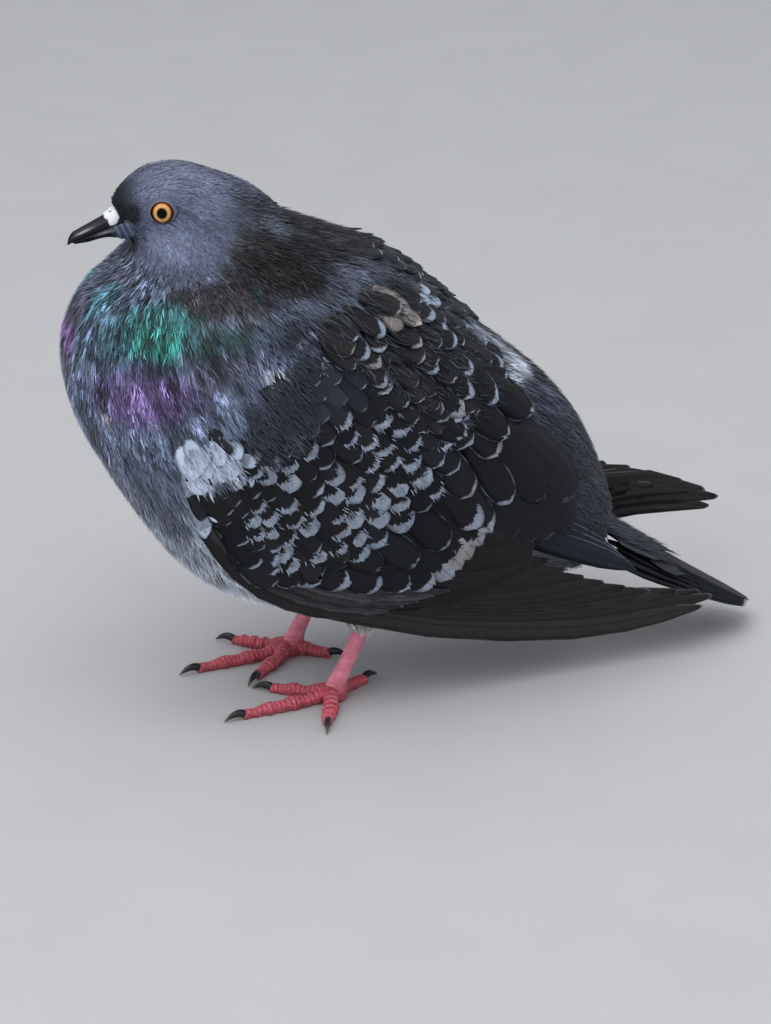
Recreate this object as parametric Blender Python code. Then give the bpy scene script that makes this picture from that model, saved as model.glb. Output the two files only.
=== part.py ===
"""Feral pigeon, standing fluffed and hunched: a still, life-size model in the pieces a person would name.

Frame: -X is forward (the bill), -Y is the bird's left, +Z is up, and the floor is Z = 0.  Sizes are in
millimetres; a piece is scaled to metres as its mesh is made.  The body is one smooth surface, parted by
thin flat cuts into head, neck, trunk and rump.  Its rings fan round the throat, so a ring near the middle
runs from the back, high behind, down to the breast in front.
"""
import math

import bmesh
import bpy
import numpy as np
from mathutils import Matrix, Vector
from mathutils.bvhtree import BVHTree

MM = 0.001
SMOOTH_UP_TO = math.radians(50)       # edges sharper than this stay sharp
SHELL_RINGS = 120        # rings of the body's surface that rays are cast at
GAP = 0.3                # clear space between neighbouring pieces
LEFT, RIGHT = -1, 1      # sign of Y
SIDE_NAMES = {LEFT: "left", RIGHT: "right"}

# The body's rings from the face to the tail: back (x, z), belly or throat (x, z), half width
BODY_RINGS = [
    (-65.0, 194.0, -59.3, 180.8, 5.5),
    (-62.4, 198.6, -59.0, 179.8, 8.4),
    (-57.0, 203.3, -58.8, 179.2, 11.4),
    (-49.0, 206.6, -58.9, 178.6, 13.8),
    (-37.0, 206.0, -59.3, 177.6, 16.2),
    (-21.5, 198.8, -61.0, 175.0, 20.0),
    (-4.5, 185.5, -68.5, 168.5, 27.5),
    (15.0, 176.0, -79.5, 158.5, 37.5),
    (35.0, 166.5, -86.0, 140.5, 45.5),
    (53.5, 150.0, -82.0, 114.0, 49.5),
    (70.0, 133.5, -65.5, 82.0, 50.5),
    (84.0, 121.0, -37.0, 47.0, 49.5),
    (97.0, 107.5, 6.0, 32.0, 44.5),
    (107.0, 92.0, 48.0, 32.5, 36.0),
    (113.5, 76.0, 77.0, 34.5, 27.0),
    (117.5, 63.0, 95.0, 34.5, 20.0),
    (118.5, 55.0, 105.0, 33.5, 15.0),
]
ROUNDNESS = 0.93         # power of sine and cosine round a ring; 1 is an ellipse, less is fuller
BODY_SIDES = 36

# Where the body is parted, in rings from the face, and how many rings each piece gets
HEAD_END, NECK_END, TRUNK_END = 5.3, 7.6, 12.4
BODY_PARTS = [
    ("head", 0.0, HEAD_END, 14),
    ("neck", HEAD_END, NECK_END, 6),
    ("trunk", NECK_END, TRUNK_END, 15),
    ("rump", TRUNK_END, len(BODY_RINGS) - 1.0, 9),
]

# Eye
EYE_X, EYE_Z = -48.8, 193.1
EYE_RADIUS = 5.4
EYE_SINK = 3.7           # from the side of the head in to the eye's centre
EYE_RINGS, EYE_SIDES = 8, 14

# Bill: middle of the base, tip, and half sizes at the base; its base lies flat against the face
BILL_BASE_X, BILL_BASE_Z = -62.5, 187.4
BILL_TIP_X, BILL_TIP_Z = -82.0, 180.6
BILL_HALF_WIDTH = 4.6
UPPER_BILL_HEIGHT, LOWER_BILL_HEIGHT = 4.0, 3.6
UPPER_BILL_RINGS, LOWER_BILL_RINGS = 9, 7
LOWER_BILL_SHARE = 0.80  # of the upper bill's length
BILL_SIDES = 12
BILL_LEAN_END = 0.35     # share of the length by which its rings stand square to it
WIDTH_TAPER, UPPER_TAPER, LOWER_TAPER = 0.70, 0.42, 0.55     # shares lost from base to tip
BLUNT_FROM = 0.80        # share of the length from which the tip rounds off
WIDTH_BLUNT, UPPER_BLUNT = 0.6, 0.5
BILL_SQUARENESS = 0.9    # power of the sine of a half ring
HOOK_START, HOOK_DROP, HOOK_POWER = 0.80, 1.8, 1.6
LOWER_RISE_FROM, LOWER_RISE, LOWER_RISE_POWER = 0.6, 0.75, 1.5
CERE_START, CERE_END = 0.01, 0.28     # shares of the bill's length
CERE_THICKNESS, CERE_EDGE = 2.3, 0.9
CERE_CLEARANCE = 0.35    # from the bill to the cere's inner face
CERE_FULLEST, CERE_ROUND = 0.425, 1.45
CERE_TURN = math.radians(8)           # where it ends on each side of the bill
CERE_WIDENING = 0.8      # share of the thickness that adds to the width
GROOVE_DEPTH, GROOVE_WIDTH = 0.16, 0.16
CERE_ROWS, CERE_SIDES = 7, 12

# Folded wing, seen from the side: (x, z) along its lower edge and its upper edge, in three pieces
COVERTS_LOW = [(-54, 103), (-48, 86), (-38, 71.5), (-26, 61), (-9, 49), (8.5, 41), (23, 36)]
COVERTS_HIGH = [(-51, 115), (-38, 129), (-22, 138), (-4, 142), (14, 141.5), (29, 137), (40, 131.5)]
SECONDARIES_LOW = [(26.4, 48.4), (40, 45.5), (58, 44.5), (74, 46), (88, 49)]
SECONDARIES_HIGH = [(40.8, 131), (56, 121), (70, 108.5), (83, 96.5), (94, 83)]
PRIMARIES_LOW = [
    (23.8, 36), (51, 26.5), (70, 23.5), (88, 21.5), (108, 18.6), (128, 19.6), (143, 22), (152, 25),
]
PRIMARIES_HIGH = [
    (26.2, 47.4), (51, 43.4), (70, 44.6), (88, 47.4), (106, 38.5), (124, 31), (141, 27.4), (152, 26),
]
COVERTS_GRID, SECONDARIES_GRID, PRIMARIES_GRID = (12, 8), (8, 8), (15, 4)     # rows, columns
WING_GAP = 0.9           # from the body to the wing's inner face
WING_HALF_SPAN = 47.0    # the least distance of the wing's inner face from the middle plane
TIP_HALF_SPAN = 31.0     # the same at the wing's tip
SPAN_FALLS_FROM, SPAN_FALLS_TO = 10.0, 128.0
HIGH_FROM, HIGH_TO, HIGH_NARROWING = 88.0, 150.0, 0.75   # the span narrows between these heights
LOW_FROM, LOW_TO, LOW_NARROWING = 60.0, 20.0, 0.06
SPAN_BLEND = 2.5         # softness of the larger of span and body
COVERTS_THICKNESS, SECONDARIES_THICKNESS, PRIMARIES_THICKNESS = 3.6, 3.0, 2.2
EDGE_THICKNESS, EDGE_SLOPE, END_SHARE = 0.9, 4.0, 0.25
FAR_WING_TURN = math.radians(4.0)     # the right wing is carried a little higher and further back
FAR_WING_PIVOT = (-10.0, 95.0)
FAR_WING_SLIDE, SLIDE_FROM, SLIDE_TO = 14.0, 10.0, 120.0
FAR_WING_ARCH, ARCH_FROM, ARCH_TO = 8.0, 75.0, 172.0    # its primaries bow upwards between these places

# Tail: a closed fan, thin at its tip
TAIL_BASE = (113.0, 45.0)
TAIL_TIP = (177.0, 7.0)
TAIL_HALF_WIDTHS = (13.0, 17.0, 18.0, 16.0)
TAIL_BASE_THICKNESS, TAIL_TIP_THICKNESS = 15.0, 1.4
TAIL_ARCH = 3.0          # how far the tail's edges hang below its middle
TAIL_ROUNDING, ROUNDING_FROM = 6.0, 0.7      # how far the tip's corners are drawn back, and from where
TAIL_THINNING = 0.7      # power of the share of the length
TAIL_EDGE_THINNING = 0.35
TAIL_ROWS, TAIL_COLUMNS = 9, 9

# Legs: middle of each foot, and where the bare leg meets the feathers, (x, y, z)
FOOT_CENTRE = {LEFT: (3.0, -24.0), RIGHT: (-3.0, 22.0)}
LEG_LEAN = 13.0          # the top of the bare leg is this far behind the foot
LEG_TOP = 29.5
# Rings of the bare leg: height, half width, share of the lean
LEG_RINGS = [
    (0.0, 4.0, 0.0), (1.0, 4.6, 0.0), (2.6, 4.8, 0.01), (4.4, 4.4, 0.06), (7.0, 3.3, 0.16),
    (12.0, 2.75, 0.36), (18.0, 2.6, 0.60), (24.0, 2.7, 0.82), (27.5, 3.0, 0.94), (LEG_TOP, 3.1, 1.0),
]
LEG_SIDES = 12
LEG_DEPTH = 1.2          # front-to-back size over width
THIGH_BOTTOM_RADIUS, THIGH_TOP_RADIUS = 4.4, 10.0
THIGH_ROWS, THIGH_SIDES = 5, 16
THIGH_DEPTH = 1.2        # front-to-back size over width
THIGH_GAP = 0.6          # from the thigh's top to the belly
THIGH_FALLBACK = 40.0    # height of the thigh's top where the belly is not above it
THIGH_FLARE = 0.8        # power of the share of its height at which it widens
THIGH_CROWN = (0.75, 0.5, 0.25)       # rings of its top, as shares of the top radius

# Toes: claw tip (x, y) for each, on the left and on the right foot
TOE_TIPS = {
    LEFT: {"inner": (-24.0, -6.0), "middle": (-40.0, -32.0), "outer": (-6.0, -53.5), "hind": (24.5, -8.0)},
    RIGHT: {"inner": (-25.0, -4.0), "middle": (-48.0, 14.0), "outer": (-28.0, 43.0), "hind": (18.0, 10.0)},
}
TOE_START = 5.9          # from the middle of the foot
TOE_RADIUS_START, TOE_RADIUS_MIDDLE, TOE_RADIUS_END = 1.9, 2.6, 1.9
TOE_LIFT = 0.78          # height of the toe's middle line over its radius, so that it has a flat sole
TOE_PADS = {"inner": 2, "middle": 3, "outer": 4, "hind": 1}
TOE_RINGS, TOE_SIDES = 9, 10
CLAW_LENGTH = 8.5
PAD_SWELL = 0.07         # share of the toe's radius
CLAW_RADIUS, CLAW_TIP_RADIUS = 1.6, 0.35
CLAW_RISE, CLAW_START_LIFT = 0.9, 0.3
CLAW_CURVE, CLAW_PEAK, CLAW_TAPER = 1.6, 0.8, 0.9     # powers of the share of its length
CLAW_FLOOR = 0.2         # lowest point of the claw
CLAW_RINGS, CLAW_SIDES = 6, 8

FINISHES = {             # base colour, roughness, metallic
    "head": ((0.10, 0.12, 0.18), 0.85, 0.0),
    "neck": ((0.03, 0.07, 0.08), 0.60, 0.0),
    "body": ((0.12, 0.14, 0.20), 0.90, 0.0),
    "wing": ((0.03, 0.035, 0.045), 0.70, 0.0),
    "quill": ((0.015, 0.016, 0.02), 0.60, 0.0),
    "bill": ((0.02, 0.02, 0.022), 0.35, 0.0),
    "cere": ((0.85, 0.85, 0.87), 0.70, 0.0),
    "eye": ((0.45, 0.16, 0.03), 0.10, 0.0),
    "skin": ((0.45, 0.08, 0.11), 0.55, 0.0),
    "claw": ((0.02, 0.02, 0.02), 0.35, 0.0),
}


def clear_scene():
    """Remove every object that is already there."""
    for item in list(bpy.data.objects):
        bpy.data.objects.remove(item, do_unlink=True)


def finish(name):
    """Principled material of one of the model's finishes."""
    material = bpy.data.materials.get(name)
    if material is None:
        colour, roughness, metallic = FINISHES[name]
        material = bpy.data.materials.new(name)
        material.use_nodes = True
        shader = material.node_tree.nodes["Principled BSDF"]
        shader.inputs["Base Color"].default_value = (*colour, 1.0)
        shader.inputs["Roughness"].default_value = roughness
        shader.inputs["Metallic"].default_value = metallic
    return material


def solid(name, points, faces, material):
    """Object with one closed mesh, its faces turned outwards; points are in millimetres."""
    mesh = bpy.data.meshes.new(name)
    mesh.from_pydata((np.asarray(points, float) * MM).tolist(), [], faces)
    shell = bmesh.new()
    shell.from_mesh(mesh)
    bmesh.ops.recalc_face_normals(shell, faces=shell.faces)
    shell.to_mesh(mesh)
    shell.free()
    mesh.shade_smooth()
    mesh.set_sharp_from_angle(angle=SMOOTH_UP_TO)
    mesh.materials.append(finish(material))
    item = bpy.data.objects.new(name, mesh)
    bpy.context.collection.objects.link(item)
    return item


def spline(rows, at):
    """Catmull-Rom curve through rows of numbers, read at places counted in rows."""
    rows = np.asarray(rows, float)
    rows = np.vstack([2 * rows[0] - rows[1], rows, 2 * rows[-1] - rows[-2]])
    at = np.asarray(at, float)
    first = np.clip(at.astype(int), 0, len(rows) - 4)
    f = (at - first)[..., None]
    a, b, c, d = (rows[first + k] for k in range(4))
    return b + 0.5 * f * (c - a + f * (2 * a - 5 * b + 4 * c - d + f * (3 * (b - c) + d - a)))


def ease(value, start, end):
    """0 before start, 1 after end, and a smooth step between."""
    t = np.clip((value - start) / (end - start), 0, 1)
    return t * t * (3 - 2 * t)


def body_point(ring, turn):
    """Body surface: a ring is a full ellipse between back and belly.

    turn is 0 at the back and pi at the belly.
    """
    row = spline(BODY_RINGS, ring)
    back, belly, half = row[..., 0:2], row[..., 2:4], row[..., 4]
    up = np.sign(np.cos(turn)) * np.abs(np.cos(turn)) ** ROUNDNESS
    out = np.sign(np.sin(turn)) * np.abs(np.sin(turn)) ** ROUNDNESS
    middle = (back + belly) / 2 + (back - belly) / 2 * up[..., None]
    return np.stack([middle[..., 0], -half * out, middle[..., 1]], axis=-1)


def ring_normal(ring):
    """Direction square to a ring's plane, pointing towards the tail."""
    row = spline(BODY_RINGS, np.array([ring]))[0]
    along = Vector((row[0] - row[2], 0, row[1] - row[3])).normalized()
    return np.array(Vector((0, 1, 0)).cross(along))


def tube_faces(rings, sides):
    """Quads between successive closed rings of points."""
    faces = []
    for i in range(rings - 1):
        for j in range(sides):
            k = (j + 1) % sides
            faces.append((i * sides + j, i * sides + k, (i + 1) * sides + k, (i + 1) * sides + j))
    return faces


def closed_tube(name, grid, material):
    """Solid from rings of points, closed at each end by a fan round the end ring's middle."""
    rings, sides = grid.shape[:2]
    points = list(grid.reshape(-1, 3)) + [grid[0].mean(axis=0), grid[-1].mean(axis=0)]
    faces = tube_faces(rings, sides)
    first, last = rings * sides, rings * sides + 1
    for j in range(sides):
        k = (j + 1) % sides
        faces.append((first, k, j))
        faces.append((last, (rings - 1) * sides + j, (rings - 1) * sides + k))
    return solid(name, points, faces, material)


def closed_plate(name, outer, inner, material):
    """Solid between two grids of points of the same size, joined round their edges."""
    rows, columns = outer.shape[:2]
    points = list(outer.reshape(-1, 3)) + list(inner.reshape(-1, 3))
    back = rows * columns
    faces = []
    for i in range(rows - 1):
        for j in range(columns - 1):
            quad = (i * columns + j, i * columns + j + 1, (i + 1) * columns + j + 1, (i + 1) * columns + j)
            faces.append(quad)
            faces.append(tuple(back + q for q in reversed(quad)))
    rim = [j for j in range(columns)]
    rim += [i * columns + columns - 1 for i in range(1, rows)]
    rim += [(rows - 1) * columns + j for j in range(columns - 2, -1, -1)]
    rim += [i * columns for i in range(rows - 2, 0, -1)]
    for p, q in zip(rim, rim[1:] + rim[:1]):
        faces.append((q, p, back + p, back + q))
    return solid(name, points, faces, material)


def body_piece(name, start, end, rings, material):
    """Length of the body between two rings, its flat ends drawn in by half a gap."""
    turns = np.linspace(0, 2 * math.pi, BODY_SIDES, endpoint=False)
    places = np.linspace(start, end, rings)
    grid = body_point(places[:, None], np.broadcast_to(turns, (rings, BODY_SIDES)))
    grid[0] += ring_normal(start) * GAP / 2
    grid[-1] -= ring_normal(end) * GAP / 2
    return closed_tube(name, grid, material)


def body_shell():
    """The whole body's surface as a tree that rays can be cast at, in millimetres."""
    sides = 2 * BODY_SIDES
    turns = np.linspace(0, 2 * math.pi, sides, endpoint=False)
    places = np.linspace(0, len(BODY_RINGS) - 1, SHELL_RINGS)
    grid = body_point(places[:, None], np.broadcast_to(turns, (SHELL_RINGS, sides)))
    return BVHTree.FromPolygons(grid.reshape(-1, 3).tolist(), tube_faces(SHELL_RINGS, sides))


def side_of_body(shell, x, z):
    """Distance of the body's side from the middle plane at (x, z), or 0 beyond the body's outline."""
    hit = shell.ray_cast(Vector((x, -200, z)), Vector((0, 1, 0)))
    return max(0.0, -hit[0].y) if hit[0] else 0.0


def underside_of_body(shell, x, y, fallback):
    """Height of the body's underside above (x, y)."""
    hit = shell.ray_cast(Vector((x, y, -10)), Vector((0, 0, 1)))
    return hit[0].z if hit[0] else fallback


def cut_socket(head, centre):
    """Cut the hollow that an eyeball sits in, one gap larger than the ball."""
    bpy.ops.mesh.primitive_uv_sphere_add(
        segments=EYE_SIDES,
        ring_count=EYE_RINGS,
        radius=(EYE_RADIUS + GAP) * MM,
        location=Vector(centre) * MM,
        rotation=(math.pi / 2, 0, 0),
    )
    cutter = bpy.context.object
    cutter.name = "socket_cutter"
    cutter.hide_render = True
    cutter.display_type = "WIRE"
    cut = head.modifiers.new("socket", "BOOLEAN")
    cut.object = cutter
    cut.operation = "DIFFERENCE"
    cut.solver = "EXACT"


def eye(side, head, shell):
    """Eyeball, and its socket in the head."""
    surface = side_of_body(shell, EYE_X, EYE_Z)
    centre = (EYE_X, side * (surface - EYE_SINK), EYE_Z)
    cut_socket(head, centre)
    polar = np.linspace(0, math.pi, EYE_RINGS + 1)[1:-1]
    turns = np.linspace(0, 2 * math.pi, EYE_SIDES, endpoint=False)
    out = np.cos(polar)[:, None] + 0 * turns
    across = np.sin(polar)[:, None] * np.cos(turns)
    high = np.sin(polar)[:, None] * np.sin(turns)
    grid = np.stack([across, side * out, high], axis=-1) * EYE_RADIUS + np.array(centre)
    ball = closed_tube(f"eye_{SIDE_NAMES[side]}", grid, "eye")
    poles = ball.data.vertices[len(ball.data.vertices) - 2:]
    for pole, sign in zip(poles, (1, -1)):
        pole.co.y = (centre[1] + sign * side * EYE_RADIUS) * MM
    return ball


def bill_frame(share):
    """Middle of the bill at a share of its length, and the upward direction of its ring there.

    The ring leans with the face at the base and stands square to the bill further on.
    """
    base = np.array((BILL_BASE_X, 0.0, BILL_BASE_Z))
    run = np.array((BILL_TIP_X, 0.0, BILL_TIP_Z)) - base
    square = np.array((run[2], 0.0, -run[0])) / np.linalg.norm(run)
    back_x, back_z, throat_x, throat_z = BODY_RINGS[0][:4]
    face = np.array((back_x - throat_x, 0.0, back_z - throat_z))
    face /= np.linalg.norm(face)
    lean = float(ease(share, 0.0, BILL_LEAN_END))
    upward = face * (1 - lean) + square * lean
    return base + run * share, upward / np.linalg.norm(upward)


def bill_profile(share):
    """Half width of the bill, and height of its upper and lower halves, at a share of its length."""
    blunt = max(0.0, share - BLUNT_FROM) / (1 - BLUNT_FROM)
    width = BILL_HALF_WIDTH * (1 - WIDTH_TAPER * share) * (1 - WIDTH_BLUNT * blunt ** 2)
    upper = UPPER_BILL_HEIGHT * (1 - UPPER_TAPER * share) * (1 - UPPER_BLUNT * blunt ** 2)
    lower = LOWER_BILL_HEIGHT * (1 - LOWER_TAPER * share)
    return width, upper, lower


def bill_half(name, reach, rings, upper):
    """Upper or lower bill: half-round rings on a flat mouth line; the upper one hooks down at its tip."""
    turns = np.linspace(0, math.pi, BILL_SIDES)
    grid = np.empty((rings, BILL_SIDES, 3))
    for i, share in enumerate(np.linspace(0, 1, rings)):
        width, high, low = bill_profile(share * reach)
        middle, upward = bill_frame(share * reach)
        if upper:
            hook = HOOK_DROP * (max(0.0, share - HOOK_START) / (1 - HOOK_START)) ** HOOK_POWER
            height = high
            centre = middle + upward * (GAP / 2 - hook * 0.5)
        else:
            rise = max(0.0, share - LOWER_RISE_FROM) / (1 - LOWER_RISE_FROM)
            height = -low * (1 - LOWER_RISE * rise ** LOWER_RISE_POWER)
            centre = middle - upward * GAP / 2
        grid[i] = (centre + np.outer(np.sin(turns) ** BILL_SQUARENESS * height, upward)
                   + np.outer(np.cos(turns) * width, (0, 1, 0)))
    return closed_tube(name, grid, "bill")


def cere():
    """Two soft lobes over the root of the upper bill: a saddle, thickest either side of a middle groove."""
    turns = np.linspace(CERE_TURN, math.pi - CERE_TURN, CERE_SIDES)
    groove = 1 - GROOVE_DEPTH * np.exp(-((turns - math.pi / 2) / GROOVE_WIDTH) ** 2)
    lobes = (0.35 + 0.65 * np.sin(turns) ** 1.5) * groove
    inner = np.empty((CERE_ROWS, CERE_SIDES, 3))
    outer = np.empty_like(inner)
    for i, share in enumerate(np.linspace(0, 1, CERE_ROWS)):
        place = CERE_START + (CERE_END - CERE_START) * share
        width, high, _ = bill_profile(place)
        middle, upward = bill_frame(place)
        swell = math.sqrt(max(0.0, 1 - (2 * (share - CERE_FULLEST)) ** 2 / CERE_ROUND))
        thick = CERE_EDGE + CERE_THICKNESS * swell * lobes
        for grid, extra in ((inner, CERE_CLEARANCE + 0 * turns), (outer, thick)):
            tall = np.sin(turns) ** BILL_SQUARENESS * (high + extra)
            broad = np.cos(turns) * (width + CERE_WIDENING * extra)
            grid[i] = middle + upward * GAP / 2 + np.outer(tall, upward) + np.outer(broad, (0, 1, 0))
    return closed_plate("cere", outer, inner, "cere")


def wing_inner(shell, x, z):
    """Half width at the wing's inner face: outside the body, and no nearer than the wing's own span."""
    back = float(ease(x, SPAN_FALLS_FROM, SPAN_FALLS_TO))
    high = float(ease(z, HIGH_FROM, HIGH_TO))
    low = float(ease(z, LOW_FROM, LOW_TO))
    span = WING_HALF_SPAN + (TIP_HALF_SPAN - WING_HALF_SPAN) * back
    span *= 1 - HIGH_NARROWING * high - LOW_NARROWING * low
    body = side_of_body(shell, x, z) + WING_GAP
    return SPAN_BLEND * float(np.logaddexp(span / SPAN_BLEND, body / SPAN_BLEND))


def far_wing(x, z):
    """Place of a point of the right wing: turned up a little about the shoulder, slid back, and bowed."""
    x, z = x - FAR_WING_PIVOT[0], z - FAR_WING_PIVOT[1]
    cosine, sine = math.cos(FAR_WING_TURN), math.sin(FAR_WING_TURN)
    turned = (x * cosine - z * sine, x * sine + z * cosine)
    slide = FAR_WING_SLIDE * float(ease(x, SLIDE_FROM, SLIDE_TO))
    far_x = turned[0] + FAR_WING_PIVOT[0] + slide
    bow = math.sin(math.pi * min(1.0, max(0.0, (far_x - ARCH_FROM) / (ARCH_TO - ARCH_FROM))))
    return far_x, turned[1] + FAR_WING_PIVOT[1] + FAR_WING_ARCH * bow


def edge_share(row, rows, column, columns):
    """1 well inside a plate, falling towards its edges; its ends stay a little thicker."""
    across = min(column, columns - 1 - column) / (columns - 1)
    along = min(row, rows - 1 - row) / (rows - 1)
    return min(1.0, EDGE_SLOPE * across, EDGE_SLOPE * along + END_SHARE)


def wing_piece(name, side, shell, low, high, size, thickness, material):
    """Curved plate between two edge curves, thinner towards its edges."""
    rows, columns = size
    low_curve = spline(low, np.linspace(0, len(low) - 1, rows))
    high_curve = spline(high, np.linspace(0, len(high) - 1, rows))
    outer = np.empty((rows, columns, 3))
    inner = np.empty_like(outer)
    for i in range(rows):
        for j in range(columns):
            share = j / (columns - 1)
            x, z = low_curve[i] * (1 - share) + high_curve[i] * share
            if side == RIGHT:
                x, z = far_wing(x, z)
            full = math.sin(edge_share(i, rows, j, columns) * math.pi / 2)
            wall = EDGE_THICKNESS + (thickness - EDGE_THICKNESS) * full
            half = wing_inner(shell, x, z)
            inner[i, j] = (x, side * half, z)
            outer[i, j] = (x, side * (half + wall), z)
    return closed_plate(name, outer, inner, material)


def wing(side, shell):
    """The folded wing's three pieces: the shield of coverts, the secondaries and the long primaries."""
    label = f"wing_{SIDE_NAMES[side]}"
    wing_piece(f"{label}_coverts", side, shell, COVERTS_LOW, COVERTS_HIGH,
               COVERTS_GRID, COVERTS_THICKNESS, "wing")
    wing_piece(f"{label}_secondaries", side, shell, SECONDARIES_LOW, SECONDARIES_HIGH,
               SECONDARIES_GRID, SECONDARIES_THICKNESS, "quill")
    wing_piece(f"{label}_primaries", side, shell, PRIMARIES_LOW, PRIMARIES_HIGH,
               PRIMARIES_GRID, PRIMARIES_THICKNESS, "quill")


def tail():
    """Closed tail: a slab that widens, thins towards its tip and arches a little across."""
    base, tip = np.array(TAIL_BASE), np.array(TAIL_TIP)
    run = (tip - base) / np.linalg.norm(tip - base)
    upward = np.array((-run[1], run[0]))
    outer = np.empty((TAIL_ROWS, TAIL_COLUMNS, 3))
    inner = np.empty_like(outer)
    for i, share in enumerate(np.linspace(0, 1, TAIL_ROWS)):
        half = float(spline([(w,) for w in TAIL_HALF_WIDTHS], share * (len(TAIL_HALF_WIDTHS) - 1))[0])
        for j, across in enumerate(np.linspace(-1, 1, TAIL_COLUMNS)):
            rounding = TAIL_ROUNDING * across ** 2 * ease(share, ROUNDING_FROM, 1.0)
            droop = TAIL_ARCH * across ** 2 * (1 - 0.5 * share)
            place = base + (tip - base) * share - run * rounding - upward * droop
            thinner = (TAIL_TIP_THICKNESS - TAIL_BASE_THICKNESS) * share ** TAIL_THINNING
            wall = (TAIL_BASE_THICKNESS + thinner) * (1 - TAIL_EDGE_THINNING * across ** 2)
            for grid, level in ((outer, wall / 2), (inner, -wall / 2)):
                spot = place + upward * level
                grid[i, j] = (spot[0], across * half, spot[1])
    return closed_plate("tail", outer, inner, "quill")


def bare_leg(side):
    """Scaly leg from the pad under the toes' roots up to the feathers: upright oval rings."""
    x, y = FOOT_CENTRE[side]
    turns = np.linspace(0, 2 * math.pi, LEG_SIDES, endpoint=False)
    grid = np.empty((len(LEG_RINGS), LEG_SIDES, 3))
    for i, (height, half, lean) in enumerate(LEG_RINGS):
        grid[i, :, 0] = x + LEG_LEAN * lean + half * LEG_DEPTH * np.cos(turns)
        grid[i, :, 1] = y + half * np.sin(turns)
        grid[i, :, 2] = height
    return closed_tube(f"leg_{SIDE_NAMES[side]}", grid, "skin")


def thigh(side, shell):
    """Feathered drumstick: a cone from the bare leg's top up to the belly, whose shape its top follows."""
    x, y = FOOT_CENTRE[side][0] + LEG_LEAN, FOOT_CENTRE[side][1]
    turns = np.linspace(0, 2 * math.pi, THIGH_SIDES, endpoint=False)
    ring = np.column_stack([THIGH_DEPTH * np.cos(turns), np.sin(turns)])

    def under_belly(radius):
        level = np.array((x, y)) + ring * radius
        heights = [underside_of_body(shell, *spot, THIGH_FALLBACK) - THIGH_GAP for spot in level]
        return np.column_stack([level, heights])

    rim = under_belly(THIGH_TOP_RADIUS)
    bottom = np.array((x, y)) + ring * THIGH_BOTTOM_RADIUS
    start = np.column_stack([bottom, np.full(THIGH_SIDES, LEG_TOP + GAP)])
    rows = [start + (rim - start) * np.array((share ** THIGH_FLARE, share ** THIGH_FLARE, share))
            for share in np.linspace(0, 1, THIGH_ROWS)]
    rows += [under_belly(THIGH_TOP_RADIUS * share) for share in THIGH_CROWN]
    item = closed_tube(f"thigh_{SIDE_NAMES[side]}", np.array(rows), "body")
    crown = item.data.vertices[len(item.data.vertices) - 1]
    crown.co.z = (underside_of_body(shell, x, y, THIGH_FALLBACK) - THIGH_GAP) * MM
    return item


def rings_along(path, heading, radii, sides, floor):
    """Upright rings of points round a path with a level heading, none of them lower than the floor."""
    across = np.array((-heading[1], heading[0], 0.0))
    turns = np.linspace(0, 2 * math.pi, sides, endpoint=False)
    ring = np.outer(np.cos(turns), across) + np.outer(np.sin(turns), (0, 0, 1))
    grid = np.asarray(path, float)[:, None, :] + ring * np.asarray(radii)[:, None, None]
    grid[..., 2] = np.maximum(grid[..., 2], floor)
    return grid


def toe(side, name):
    """One toe lying on the floor, with its pads, and the claw that carries on from it."""
    centre = np.array(FOOT_CENTRE[side])
    tip = np.array(TOE_TIPS[side][name])
    reach = np.linalg.norm(tip - centre)
    heading = (tip - centre) / reach
    claw_start = reach - CLAW_LENGTH
    share = np.linspace(0, 1, TOE_RINGS)
    radius = spline([(TOE_RADIUS_START,), (TOE_RADIUS_MIDDLE,), (TOE_RADIUS_END,)], share * 2)[:, 0]
    radius = radius * (1 + PAD_SWELL * np.sin(2 * math.pi * TOE_PADS[name] * share))
    distance = TOE_START + (claw_start - TOE_START) * share
    level = centre + heading * distance[:, None]
    path = np.column_stack([level, radius * TOE_LIFT])
    label = f"{SIDE_NAMES[side]}_{name}"
    closed_tube(f"toe_{label}", rings_along(path, heading, radius, TOE_SIDES, 0.0), "skin")

    share = np.linspace(0, 1, CLAW_RINGS)
    level = centre + heading * (claw_start + GAP + (CLAW_LENGTH - GAP) * share)[:, None]
    start, end = TOE_RADIUS_END * TOE_LIFT + CLAW_START_LIFT, 2 * CLAW_TIP_RADIUS
    arch = CLAW_RISE * np.sin(math.pi * share ** CLAW_PEAK)
    height = start + (end - start) * share ** CLAW_CURVE + arch
    radius = CLAW_RADIUS + (CLAW_TIP_RADIUS - CLAW_RADIUS) * share ** CLAW_TAPER
    path = np.column_stack([level, height])
    closed_tube(f"claw_{label}", rings_along(path, heading, radius, CLAW_SIDES, CLAW_FLOOR), "claw")


def stand_on_origin():
    """Move every mesh so that the middle of the model's box, at floor level, is the origin."""
    bpy.context.view_layer.update()
    solids = [item for item in bpy.data.objects if item.type == "MESH"]
    shown = [item for item in solids if not item.hide_render]
    points = np.array([item.matrix_world @ v.co for item in shown for v in item.data.vertices])
    low, high = points.min(axis=0), points.max(axis=0)
    middle = (low + high) / 2
    shift = Vector((-middle[0], -middle[1], 0.0))
    for item in solids:
        if item.hide_render:
            item.location += shift
        else:
            item.data.transform(Matrix.Translation(shift))


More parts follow.
